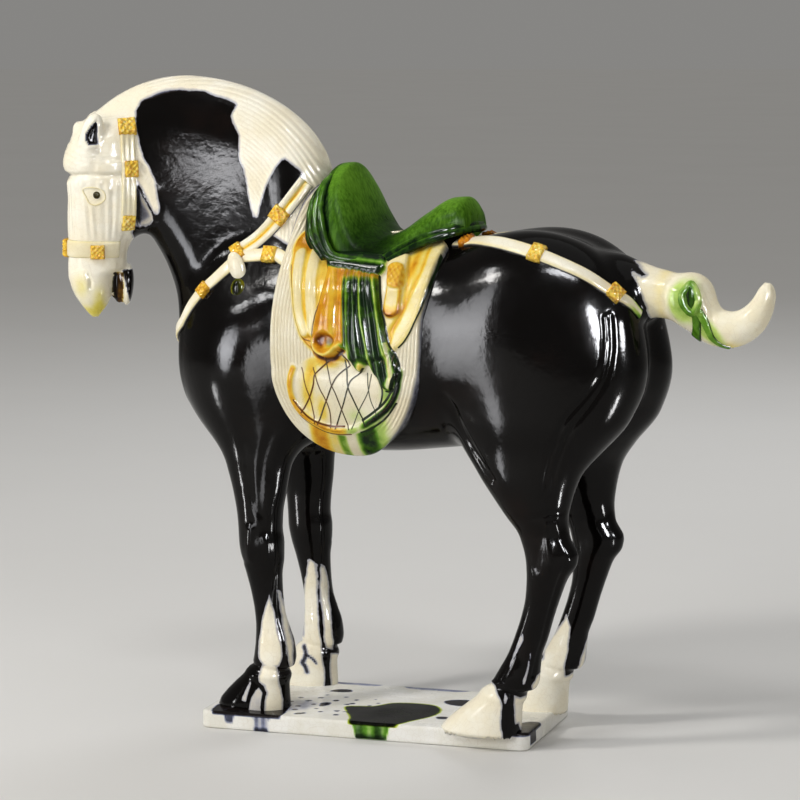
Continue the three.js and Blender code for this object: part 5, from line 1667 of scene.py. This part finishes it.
def make_saddle():
    x = np.arange(SADDLE_ENDS[0], SADDLE_ENDS[1] + SADDLE_STEP / 2, SADDLE_STEP)
    a = np.linspace(0, math.pi, SADDLE_AROUND)
    top, low, half = (SADDLE(x, c)[:, None] for c in (1, 2, 3))
    y = half * np.cos(a)[None, :]
    z = low + (top - low) * np.sin(a)[None, :] ** SADDLE_BULGE
    points = np.stack([np.repeat(x[:, None], len(a), axis=1), -y, z], axis=2)
    shut = [points[0] * (1, 0.9, 1) + (-1.2, 0, -3), *points, points[-1] * (1, 0.86, 1) + (1.5, 0, -3)]
    points = np.stack([shut[0] * (1, 0, 1) + (0, 0, -4), *shut, shut[-1] * (1, 0, 1) + (0, 0, -4)])
    flat = points.reshape(-1, 3)
    facts = plain_facts(len(flat), **saddle_facts(flat))
    add_mesh("saddle_seat", placed(flat), sheet_faces(len(points), len(a)), SADDLE_GLAZE, facts)
    for k, path in enumerate(SADDLE_RIMS):
        near = curve(path)
        closed = k < ROUND_RIMS
        if closed:
            parts = [("round", np.concatenate([near, near[::-1] * (1, -1, 1)]))]
        else:
            parts = [("near", near), ("far", mirrored(near))]
        for side, part in parts:
            points, faces, facts = tube(part, RIM_RADIUS, RIM_SIDES, closed=closed)
            # paler green on each rim's upper side: a painted highlight
            facts["green"] = np.full(len(points), 0.98) - 0.3 * facts.pop("up") ** 4
            add_mesh(f"saddle_rim_{k}_{side}", placed(points), faces, DRESS_GLAZE, facts)


def tube(path, radius, sides, closed=False):
    """A round tube along points; `up` says how much each point faces upwards, for a painted highlight on top.
    """
    ahead = np.roll(path, -1, axis=0) - np.roll(path, 1, axis=0)
    if not closed:
        ahead[0] = path[1] - path[0]
        ahead[-1] = path[-1] - path[-2]
    ahead /= np.linalg.norm(ahead, axis=1)[:, None] + TINY
    side = np.cross(ahead, (0, 0, 1.0)) + (LEAST, 0, 0)
    side /= np.linalg.norm(side, axis=1)[:, None]
    up = np.cross(side, ahead)
    turn = np.linspace(0, 2 * math.pi, sides, endpoint=False)
    spokes = side[:, None] * np.cos(turn)[:, None] + up[:, None] * np.sin(turn)[:, None]
    rings = path[:, None] + radius * spokes
    points = rings.reshape(-1, 3)
    faces = sheet_faces(len(path), sides, loop=True).tolist()
    if closed:
        last = (len(path) - 1) * sides
        faces += [[last + i, last + (i + 1) % sides, (i + 1) % sides, i] for i in range(sides)]
    else:
        faces += [list(range(sides))[::-1], [(len(path) - 1) * sides + i for i in range(sides)]]
    facts = plain_facts(len(points))
    facts["up"] = np.tile(np.clip(np.sin(turn), 0, 1), len(path))
    return points, faces, facts


SADDLE_SHINE = 0.025


def saddle_glaze():
    """Matt green with a fine grain running down it."""
    n = Nodes("saddle_glaze")
    grain = n.noise(700, 4, stretch=(1.0, 1.0, 0.10))
    uneven = n.step(grain, 0.25, 0.8, 0.82, 1.15)
    cloud = n.step(n.noise(45, 4), 0.25, 0.8, 0.85, 1.12)
    colour = n.stain(CREAM, n.times(n.times(n.fact("green"), uneven), cloud), GREEN_DEPTH)
    return n.surface({
        "Base Color": n.stain(colour, n.fact("black"), BLACK_DEPTH),
        "Roughness": n.step(n.noise(150, 3), 0.2, 0.9, 0.26, 0.38),
        "Specular IOR Level": SADDLE_SHINE,
        "Normal": n.bump(grain, 0.25, 0.0004, n.bump(n.noise(60, 3), 0.3, 0.0008)),
    })


SADDLE_GLAZE = saddle_glaze()


# Straps laid over a skin; a profile is a row of (across, height), in shares
def both_ways(half):
    """A whole profile from its left half, which ends in the middle."""
    return half + [(-across, height) for across, height in reversed(half[:-1])]


SUNK = -0.8
ROUND_STRAP = both_ways([(-0.5, SUNK), (-0.5, 0.1), (-0.46, 0.62), (-0.36, 0.93), (-0.2, 1.0), (0, 1.02)])
SPLIT_STRAP = both_ways([
    (-0.5, SUNK), (-0.5, 0.1), (-0.46, 0.62), (-0.34, 0.95), (-0.22, 0.95), (-0.1, 0.6), (0, 0.25),
])
RIBBED_STRAP = both_ways([
    (-0.5, SUNK), (-0.5, 0.2), (-0.46, 0.75), (-0.38, 1.0), (-0.27, 0.85), (-0.17, 0.55), (-0.07, 0.9),
    (0, 1.0),
])
# A strap's rounded ends: places along, and shares of the full height
END_PLACES = [-0.5, -0.5, -0.3]
END_HEIGHTS = [SUNK, 0.3, 0.8]
END_LENGTH = 1.2


def ribbon(field, guesses, width, rise, profile, step=1.0):
    """A strip over a field's skin along rough points, with rounded ends."""
    path, _ = landed(field, np.array(guesses, float), 6)
    path = curve(path)
    length = np.concatenate([[0], np.cumsum(np.linalg.norm(np.diff(path, axis=0), axis=1))])
    s = np.linspace(0, length[-1], max(3, int(length[-1] / step)))
    path = np.stack([np.interp(s, length, path[:, c]) for c in range(3)], axis=1)
    path, out = landed(field, path, 4)
    ahead = np.gradient(path, axis=0)
    ahead /= np.linalg.norm(ahead, axis=1)[:, None]
    across = np.cross(ahead, out)
    across /= np.linalg.norm(across, axis=1)[:, None]
    wide = np.interp(s, [0, s[-1]], np.broadcast_to(width, 2))
    u, h = np.array(profile, float).T
    rows = [0, 0, 0, *range(len(s)), *[len(s) - 1] * 3]
    ats = END_PLACES + [0.0] * len(s) + [-place for place in reversed(END_PLACES)]
    lift = END_HEIGHTS + [1.0] * len(s) + END_HEIGHTS[::-1]
    rings = []
    for row, at, share in zip(rows, ats, lift):
        height = np.where(h > 0, h * share, h) if share > 0 else np.full(len(h), SUNK)
        ring = path[row] + ahead[row] * at * END_LENGTH + across[row] * (u * wide[row])[:, None]
        rings.append(ring + out[row] * (height * rise)[:, None])
    points = np.concatenate(rings)
    faces = sheet_faces(len(rings), len(u)).tolist()
    facts = plain_facts(len(points))
    facts["across"] = np.tile(u, len(rings))
    facts["share"] = np.repeat(np.clip(np.array([s[row] / s[-1] for row in rows]), 0, 1), len(u))
    return points, faces, facts


def pad(field, centre, up, half, rise, depth, cells=21):
    """A square-cornered plate on a field's skin, embossed with small square knobs, in amber of some depth."""
    middle, out = landed(field, np.array([centre], float), 6)
    middle, out = middle[0], out[0]
    up = np.array(up, float)
    up -= out * (up @ out)
    up /= np.linalg.norm(up)
    across = np.cross(up, out)
    s = np.concatenate([[-1, -1], np.linspace(-1, 1, cells), [1, 1]])
    u, v = np.meshgrid(s, s, indexing="ij")
    sunk = np.ones(u.shape, bool)
    sunk[1:-1, 1:-1] = False
    edge = np.maximum(np.abs(u), np.abs(v))
    knobs = np.cos(3 * math.pi * u) * np.cos(3 * math.pi * v) * soft_step(-edge, -0.95, -0.75)
    height = rise * (0.25 + 0.75 * np.sqrt(np.clip(1 - edge**10, 0, 1))) + 0.32 * knobs
    height = np.where(sunk, SUNK, height)
    wide = half[0] * (1 - 0.03 * np.abs(v) ** 4)
    points = middle + across * (u * wide)[..., None] + up * (v * half[1])[..., None]
    ground, _ = landed(field, points.reshape(-1, 3), 4)
    points = ground + out * height.reshape(-1, 1)
    facts = plain_facts(len(points), amber=depth - 0.16 * knobs.ravel())
    return points, sheet_faces(*u.shape).tolist(), facts


# Harness on the trunk, as rough points near its skin
BREAST_UPPER = [(-44, -14, 297), (-50, -20, 286), (-59, -25, 274), (-69, -27, 264.5), (-80, -30, 257.5)]
BREAST_LOWER = [(-47, -34, 256), (-55, -30, 258), (-64, -31, 257.5), (-75, -31, 256.5)]
BREAST_FRONT = [(-80, -31, 253), (-90, -35, 244), (-98, -37, 237.5), (-106, -36, 228), (-113, -33, 217),
                (-118, -22, 207), (-121, -8, 202), (-122, 0, 201)]
CRUPPER = [(50, -15, 268), (61, -19, 270.5), (76, -26.5, 269), (92, -32.5, 267.5), (107, -35.5, 264.5),
           (121, -34, 258.5), (134, -32, 253), (147, -29, 246), (154, -22, 239), (158, -15, 232)]
TRUNK_FITTINGS = [
    # centre, direction of its length, half width and half length, amber depth
    ((-55.3, -24, 279), (-0.6, 0, -0.8), (5.2, 4.6), 0.31),
    ((-79, -30.5, 258.6), (-0.8, 0, -0.6), (5.0, 3.6), 0.33),
    ((-58, -31, 257.8), (-1, 0, 0.05), (4.8, 4.4), 0.31),
    ((-97.8, -37, 237), (-0.6, 0, -0.8), (3.4, 4.0), 0.46),
    ((56, -17, 270.5), (1, 0, 0.1), (5.0, 3.6), 0.85),
    ((106, -35, 265), (1, 0, -0.3), (5.4, 4.2), 0.32),
    ((149, -27, 244.5), (0.7, 0.2, -0.6), (4.6, 4.4), 0.32),
]
STRAP_RISE = 1.9
PLATE_RISE = 3.6
LEAF_AT = (-77.3, -33.2, 250)
DROP_AT = (-74.6, -36.4, 237.6)


def add_both(name, made, material, place=placed, sides=("near", "far")):
    """A piece and its mirror on the far side."""
    points, faces, facts = made
    given = {key: value for key, value in facts.items() if key not in ("across", "share")}
    turned = [face[::-1] for face in faces]
    for side, at, way in (("near", points, faces), ("far", mirrored(points), turned)):
        if side in sides:
            add_mesh(f"{name}_{side}", place(at), way, material, given)


def make_pendants():
    points, faces, facts = ball(LEAF_AT, (5.4, 2.6, 8.4))
    points[:, 0] += 2.0 * np.clip((LEAF_AT[2] - points[:, 2]) / 8, -1, 1)
    add_both("pendant_leaf", (points, faces, facts), DRESS_GLAZE)
    points, faces, facts = ball(DROP_AT, (4.6, 3.2, 6.2))
    middle = spot(points[:, 0], points[:, 2], DROP_AT[0], 238, 2.6, 4.4)
    facts["amber"] = 0.5 + 0.5 * middle
    facts["green"] = 0.3 + 0.5 * middle
    facts["black"] = 0.45 * middle
    add_both("pendant_drop", (points, faces, facts), DRESS_GLAZE)


def make_harness():
    for name, path, width, profile in (
        ("breast_upper", BREAST_UPPER, 9.6, SPLIT_STRAP),
        ("breast_lower", BREAST_LOWER, 8.0, ROUND_STRAP),
        ("breast_front", BREAST_FRONT, (8.0, 4.4), ROUND_STRAP),
        ("crupper", CRUPPER, (9.4, 6.0), ROUND_STRAP),
    ):
        points, faces, facts = ribbon(body_field, path, width, STRAP_RISE, profile)
        edge = np.abs(facts["across"])
        facts["black"] = 0.5 * soft_step(edge, 0.46, 0.5)
        facts["amber"] = 0.08 * soft_step(edge, 0.25, 0.45)
        if profile is SPLIT_STRAP:
            facts["amber"] = 0.55 * bell(edge, 0.08)
        if name == "crupper":
            facts["green"] = 0.5 * soft_step(facts["share"], 0.90, 1.0) * soft_step(edge, 0.1, 0.4)
        add_both(name, (points, faces, facts), DRESS_GLAZE)
    for k, (centre, up, half, depth) in enumerate(TRUNK_FITTINGS):
        add_both(f"fitting_{k}", pad(body_field, centre, up, half, PLATE_RISE, depth), GOLD_GLAZE)
    make_pendants()


def ball(centre, half, sides=28, levels=18):
    v = np.linspace(0, math.pi, levels)
    u = np.linspace(0, 2 * math.pi, sides, endpoint=False)
    grid = np.stack([
        np.outer(np.sin(v), np.cos(u)), np.outer(np.sin(v), np.sin(u)), np.outer(np.cos(v), np.ones(sides)),
    ], axis=2)
    points = (np.array(centre) + grid * np.array(half)).reshape(-1, 3)
    return points, sheet_faces(levels, sides, flip=True, loop=True).tolist(), plain_facts(len(points))


# Bridle and eyes, in the head's own frame
CHEEK_STRAP = [(9, -12, 54), (9.3, -14.4, 47), (9.4, -15.6, 40), (9.5, -16, 29), (9.2, -16, 14),
               (9.0, -16, -1)]
NOSEBAND = [(3, -10, -16.2), (-3, -12, -16.3), (-9, -12.6, -16.3), (-15, -11.8, -16.3), (-21, -8.5, -16.2),
            (-24.5, -4, -16), (-25.4, 0, -16)]
HEAD_FITTINGS = [
    # centre, half width and half length, amber depth
    ((9, -12, 53.6), (5.2, 5.2), 0.26),
    ((11, -15.6, 29.6), (4.1, 4.8), 0.31),
    ((9.2, -15.4, -1), (4.0, 4.7), 0.30),
    ((-8.6, -12.4, -17.6), (4.2, 4.2), 0.34),
]
EYE_AT = (-8.7, -17.9, 15.0)
UPRIGHT = (0, 0, 1)
HEAD_STRAP_RISE = 1.05
HEAD_PLATE_RISE = 2.6
LID_RADIUS = 0.36


def head_skin(x, y, z):
    return body_field(*from_head(np.stack([x, y, z], axis=1)).T)


def on_head(points):
    return placed(from_head(points))


def make_bridle():
    for name, path, width, profile in (
        ("cheek_strap", CHEEK_STRAP, 8.8, RIBBED_STRAP), ("noseband", NOSEBAND, 10.2, ROUND_STRAP),
    ):
        points, faces, facts = ribbon(head_skin, path, width, HEAD_STRAP_RISE, profile, 0.8)
        edge = np.abs(facts["across"])
        facts["black"] = 0.10 * soft_step(edge, 0.47, 0.5)
        if name == "noseband":
            facts["black"] = np.where(points[:, 2] < NOSEBAND[0][2], 0.45, 0.1) * soft_step(edge, 0.46, 0.5)
        facts["amber"] = 0.03 + 0.04 * soft_step(edge, 0.3, 0.5)
        add_both(name, (points, faces, facts), DRESS_GLAZE, on_head)
    for k, (centre, half, depth) in enumerate(HEAD_FITTINGS):
        plate = pad(head_skin, centre, UPRIGHT, half, HEAD_PLATE_RISE, depth)
        add_both(f"bridle_fitting_{k}", plate, GOLD_GLAZE, on_head)
    plate = pad(head_skin, (-26, 0, -16), UPRIGHT, (4.0, 5.4), 3.2, 0.38)
    add_both("bridle_front", plate, GOLD_GLAZE, on_head, sides=("near",))


def make_eyes():
    rim, _ = landed(head_skin, np.array([(x, -18, z) for x, z in EYE_ALMOND], float), 5)
    points, faces, _ = tube(curve(rim, closed=True), LID_RADIUS, 10, closed=True)
    add_both("eyelid", (points, faces, plain_facts(len(points), amber=0.06)), DRESS_GLAZE, on_head)
    points, faces, _ = ball(EYE_AT, (2.05, 1.5, 2.15))
    facts = plain_facts(len(points), amber=0.62, black=0.42, green=0.2)
    add_both("pupil", (points, faces, facts), DRESS_GLAZE, on_head)


# Tail tie: a loop of ribbon on the knot, its ends falling away
TIE_LOOP = [
    (185.2, -11.4, 249.6), (182.9, -13.4, 246.9), (181.2, -13.9, 243.6), (181.2, -13.9, 239.8),
    (183.2, -14.8, 236), (186.6, -13.3, 233.2), (188.4, -11.4, 236.2), (189.0, -10.8, 239.8),
    (188.2, -10.8, 243.6), (186.8, -10.8, 247),
]
# middle of the loop's hole, filled with painted shade
TIE_SLIT = (185.0, -12.5, 241.2)
TIE_ENDS = [
    # path, widths, depth of green
    ([(187.5, -12.2, 233.9), (188.3, -11.4, 229.3), (188.1, -9.8, 225), (186.7, -7.5, 220.7),
      (184.6, -4, 218)], (3.4, 6.8), 0.58),
    ([(189.5, -11, 233.9), (192.4, -10, 229.3), (194.6, -9.9, 224.8), (196.8, -8.6, 220.2),
      (200.7, -5.7, 217), (204.4, -3.6, 214.5)], (5.0, 2.2), 0.38),
]


def make_tie():
    path, _ = landed(tail_field, np.array(TIE_LOOP, float), 5)
    points, faces, facts = tube(curve(path, closed=True), 2.1, 14, closed=True)
    # paler green on the loop's upper side: a painted highlight; paler also towards its right
    facts["green"] = 0.56 - 0.2 * facts.pop("up") - 0.2 * soft_step(points[:, 0], 186, 189)
    add_both("tail_tie", (points, faces, facts), DRESS_GLAZE)
    # a dark green filling in the loop's hole, darker to its left: painted shade in the hole
    points, faces, facts = ball(TIE_SLIT, (2.6, 1.2, 6.4))
    facts["green"] = np.full(len(points), 0.74)
    facts["black"] = 0.35 * soft_step(-points[:, 0], -186.4, -184)
    add_both("tail_tie_slit", (points, faces, facts), DRESS_GLAZE)
    for k, (end, widths, depth) in enumerate(TIE_ENDS):
        points, faces, facts = ribbon(tail_field, end, widths, 1.0, ROUND_STRAP, 0.8)
        facts["green"] = depth + 0.15 * facts["share"]
        facts["black"] = 0.4 * soft_step(np.abs(facts["across"]), 0.44, 0.5)
        add_both(f"tail_ribbon_{k}", (points, faces, facts), DRESS_GLAZE)


# Slab plinth, in its own frame: outlines of pools on the top in (x, y), runs over the edge in (along, z)
POOLS = [
    ([(-91, -34), (-86, -50), (-50, -50), (-48, -40), (-50, -28), (-52, -18), (-60, -12), (-66, -14),
      (-80, -20), (-90, -27)], "black", 0.74),
    # a soft grey wash beside the near foreleg, partly painted shadow of the horse
    ([(-54, -38), (-47, -34), (-40, -28), (-37, -18), (-40, -8), (-50, -5), (-58, -12), (-58, -30)],
     "wash_and_shadow", 0.13),
    ([(-20.3, -12.4), (-13, -9.5), (-5.7, -7.6), (2, 2.6), (9, 5.5), (16.3, 7), (28.4, 3.1), (34.5, -6),
      (34.1, -20.5), (26.5, -35.7), (17.7, -50), (-5.3, -50), (-9.9, -37.1), (-15.2, -26.1)], "puddle", 1.0),
    ([(74, -50), (80, -38), (86, -22), (90, -17), (100, -20), (100, -42), (92, -50)], "black", 0.7),
    ([(30, 16), (34, 21), (44, 22), (50, 14), (44, 8), (34, 9)], "black", 0.66),
    ([(37, -22), (42, -21), (44, -25), (39, -27)], "black", 0.66),
    ([(-41, 21), (-38, 27), (-31, 27.5), (-29, 23), (-33, 20.5)], "black", 0.66),
    ([(-36, -9), (-32, -6), (-31, -12), (-34, -17)], "black", 0.66),
    ([(-23, -8), (-20.5, -6), (-20, -9)], "black", 0.66),
    ([(-42, -36), (-39, -35), (-38.5, -38), (-42, -39)], "black", 0.66),
    ([(-23, -25), (-20.5, -24), (-20.8, -27)], "black", 0.66),
    ([(-16, -25), (-13.5, -24.6), (-14, -27.4)], "black", 0.66),
    ([(-4, 48), (-1, 42), (8, 40.6), (22, 40.4), (34, 43), (38, 48)], "black", 0.22),
    ([(-46, 48), (-44, 42), (-32, 40.6), (-20, 42), (-16, 48)], "black", 0.22),
]
EDGE_RUNS = [
    # front edge: from x, to x, lowest z, glaze
    (-82, -75, 4.0, "black"), (-64.5, -54, 0.0, "blue"), (-5.5, 17, 0.6, "green"),
]
# side edge: from y, to y, lowest z
SIDE_RUN = (-41, -29, 2.6)
SLAB_BOX = ((-100, -51, -3), (100, 51, 14))
SLAB_STEP = 0.95
SPECK_TURN = math.radians(137.5)


def speck(k):
    """One of the small splashes that spiral out round the big pool's near end: x, y, radius."""
    reach = math.sqrt(k)
    x = -26 + 6.82 * reach * math.cos(k * SPECK_TURN)
    y = -12 + 4.8 * reach * math.sin(k * SPECK_TURN)
    return x, y, 0.6 + 0.5 * (1 + math.sin(k * 2.3))


def rounded_corner(u, v, radius):
    """Distance to two sides that meet in a rounded corner, from how far past its middle each place is."""
    return np.hypot(np.maximum(u, 0), np.maximum(v, 0)) + np.minimum(np.maximum(u, v), 0) - radius


def slab_field(x, y, z):
    edge = 1.5
    corner = 6.0
    wave = 0.22 * np.sin(x / 9 + 1) * np.sin(y / 7) + 0.18 * np.sin(x / 3.7) * np.sin(z / 2.1 + y / 11)
    qx = np.abs(x) - PLINTH_LENGTH / 2 + corner
    qy = np.abs(y) - PLINTH_WIDTH / 2 + corner
    plan = rounded_corner(qx, qy, corner)
    v = np.abs(z - PLINTH_THICKNESS / 2) - PLINTH_THICKNESS / 2 + edge
    return rounded_corner(plan + edge, v, edge) + wave * (z > 1) * 0.6


def pool(facts, kind, depth, deep, on_top):
    """Lays one pool over the slab's top, with `deep` as how far inside its outline each place is."""
    # the wash is a soft grey over the top, partly painted shadow
    if kind == "wash_and_shadow":
        facts["black"] += soft_step(deep, -3, 5) * on_top * depth
        return
    cover = soft_step(deep, -0.5, 0.5) * on_top
    if kind == "puddle":
        rim = bell(deep - 0.3, 0.9)
        facts["green"] += cover * (0.72 - 0.34 * rim)
        facts["amber"] += cover * (0.75 - 0.45 * rim)
        facts["black"] += cover * 0.55 * soft_step(deep, 0.2, 2.2)
    else:
        facts["black"] += cover * depth


def edge_run(facts, x, z, run, on_edge):
    """Lets one run down the slab's front edge."""
    start, stop, low, kind = run
    flare = 0.8 * np.maximum(z - 6.5, 0) - 1.0 if kind == "blue" else -0.25 * (10 - z)
    width = np.minimum(x - start, stop - x) + flare
    cover = soft_step(width, -0.4, 0.8) * soft_step(z, low - 0.6, low + 0.8) * on_edge
    if kind == "green":
        facts["green"] += cover * (0.50 + 0.14 * np.sin(x * 0.9))
        streaks = soft_step(np.sin(x * 0.55 + 2.2), 0, 0.9)
        facts["black"] += cover * (0.45 * soft_step(-z, -4.5, -0.5) + 0.22 * streaks)
    elif kind == "blue":
        facts["black"] += cover * (0.20 + 0.40 * soft_step(-z, -3.4, -0.8) + 0.10 * np.sin(x * 1.6))
    else:
        facts["black"] += cover * 0.42


def make_slab():
    points, faces = skin(slab_field, *SLAB_BOX, SLAB_STEP)
    points, _ = landed(slab_field, points, 3)
    x, y, z = points.T
    facts = plain_facts(len(points))
    on_top = soft_step(z, 8.0, 9.2)
    for outline, kind, depth in POOLS:
        pool(facts, kind, depth, inside(outline, x, y), on_top)
    for sx, sy, radius in map(speck, range(3, 30)):
        splash = on_top * 0.64 * soft_step(radius - np.hypot(x - sx, y - sy), -0.5, 0.5)
        facts["black"] = np.maximum(facts["black"], splash)
    for run in EDGE_RUNS:
        edge_run(facts, x, z, run, (y < -45) * (1 - on_top))
    start, stop, low = SIDE_RUN
    cover = soft_step(np.minimum(y - start, stop - y), -0.4, 0.8) * soft_step(z, low - 0.6, low + 0.8)
    facts["black"] += cover * (x > 94) * (1 - on_top) * 0.7
    add_mesh("slab_plinth", points * MM, faces, SLAB_GLAZE, facts)


make_body()
make_cloths(-1, "cloths_near", 0.0)
make_cloths(1, "cloths_far", 3.5)
make_saddle()
make_harness()
make_bridle()
make_eyes()
make_tie()
make_slab()


# Floor and light
FLOOR_REACH = 40.0


def make_floor():
    mesh = bpy.data.meshes.new("floor")
    r = FLOOR_REACH
    mesh.from_pydata([(-r, -r, 0), (r, -r, 0), (r, r, 0), (-r, r, 0)], [], [(0, 1, 2, 3)])
    n = Nodes("floor")
    mesh.materials.append(n.surface({
        "Base Color": n.mix(n.noise(3, 4), (0.68, 0.67, 0.65), (0.72, 0.71, 0.69)),
        "Roughness": n.step(n.noise(40, 4), 0.2, 0.8, 0.6, 0.7),
        "Specular IOR Level": 0.0,
    }))
    floor = bpy.data.objects.new("floor", mesh)
    bpy.context.collection.objects.link(floor)


LIGHTS = [
    # aim in metres, degrees round from the near side, degrees up, metres off, width and height, watts, colour
    ("key", (0, 0, 0.2), -48, 38, 1.5, (0.18, 0.18), 8.0, (1, 0.98, 0.95)),
    ("top", (0, 0, 0.2), -5, 60, 1.6, (0.36, 0.2), 3.0, (1, 1, 1)),
]
FILLS = [
    # as above, but not seen in the glaze
    ("front", (0, 0, 0.2), -34, 16, 2.2, (0.8, 0.6), 14.5, (1, 0.99, 0.97)),
    ("right", (0, 0, 0.2), 50, 22, 2.2, (0.8, 0.6), 5.0, (1, 1, 1)),
    ("rear", (0, 0, 0.2), 170, 40, 1.9, (0.8, 0.5), 9.0, (0.95, 0.97, 1)),
]
CARDS = [
    # as above with the beam's width in degrees last, but seen in the glaze alone
    ("card_neck", (-0.088, -0.011, 0.311), -25, 6, 0.45, (0.06, 0.030), 0.19, (0.97, 0.97, 1), 36),
    ("card_throat", (-0.105, -0.011, 0.313), -17, 6, 0.45, (0.06, 0.016), 0.10, (0.97, 0.97, 1), 36),
    ("card_breast", (-0.079, -0.037, 0.214), -41, 5, 0.3, (0.07, 0.17), 1.1, (0.95, 0.96, 1), 50),
    ("card_chest", (-0.072, -0.032, 0.240), -46, 28, 0.5, (0.03, 0.03), 0.16, (1, 1, 1), 36),
    ("card_back", (0.076, -0.050, 0.266), -58, 41, 0.6, (0.06, 0.06), 0.4, (1, 1, 1), 36),
    ("card_flank", (0.064, -0.057, 0.235), -44, 4, 0.3, (0.07, 0.39), 1.9, (0.97, 0.97, 1), 70),
    ("card_croup", (0.116, -0.054, 0.263), 2, 50, 0.9, (0.40, 0.10), 8.0, (0.95, 0.96, 1), 60),
    ("card_rump", (0.137, -0.057, 0.234), 28, 16, 0.9, (0.22, 0.38), 34.0, (0.95, 0.96, 1), 60),
    ("card_thigh", (0.145, -0.052, 0.235), 60, 15, 0.9, (0.20, 0.24), 14.0, (0.95, 0.96, 1), 60),
    ("card_hock", (0.117, -0.055, 0.148), 60, -17, 0.35, (0.05, 0.09), 1.2, (1, 1, 1), 50),
    ("card_knee", (-0.070, -0.034, 0.107), -58, -8, 0.4, (0.03, 0.07), 0.35, (1, 1, 1), 50),
]
SUN_STRENGTH = 0.323
SUN_WIDTH = math.radians(60)
WORLD_COLOUR = (0.60, 0.59, 0.57, 1)
WORLD_STRENGTH = 0.40


def add_light(name, aim, around, above, far, size, power, colour, beam=None, glossy=True):
    data = bpy.data.lights.new(name, "AREA")
    data.shape = "RECTANGLE" if beam is None else "ELLIPSE"
    data.size, data.size_y = size
    data.energy = power
    if beam is not None:
        # the same watts are brighter in a narrow beam, so this takes out what it adds
        data.spread = math.radians(beam)
        data.energy = power * (1 - data.spread / 2 / math.tan(data.spread / 2))
    data.color = colour
    light = bpy.data.objects.new(name, data)
    off = facing(math.radians(around), math.radians(above))
    light.location = Vector(aim) + off * far
    light.rotation_euler = off.to_track_quat("Z", "Y").to_euler()
    light.visible_diffuse = beam is None
    light.visible_glossy = glossy
    light.visible_camera = False
    bpy.context.collection.objects.link(light)


def make_lights():
    world = bpy.data.worlds.new("studio")
    world.use_nodes = True
    background = world.node_tree.nodes["Background"].inputs
    background["Color"].default_value = WORLD_COLOUR
    background["Strength"].default_value = WORLD_STRENGTH
    bpy.context.scene.world = world
    bpy.context.scene.view_settings.view_transform = "Standard"
    sun = bpy.data.lights.new("sky", "SUN")
    sun.energy = SUN_STRENGTH
    sun.angle = SUN_WIDTH
    bpy.context.collection.objects.link(bpy.data.objects.new("sky", sun))
    for rows, glossy in ((LIGHTS, True), (FILLS, False), (CARDS, True)):
        for row in rows:
            add_light(*row, glossy=glossy)


make_floor()
make_lights()
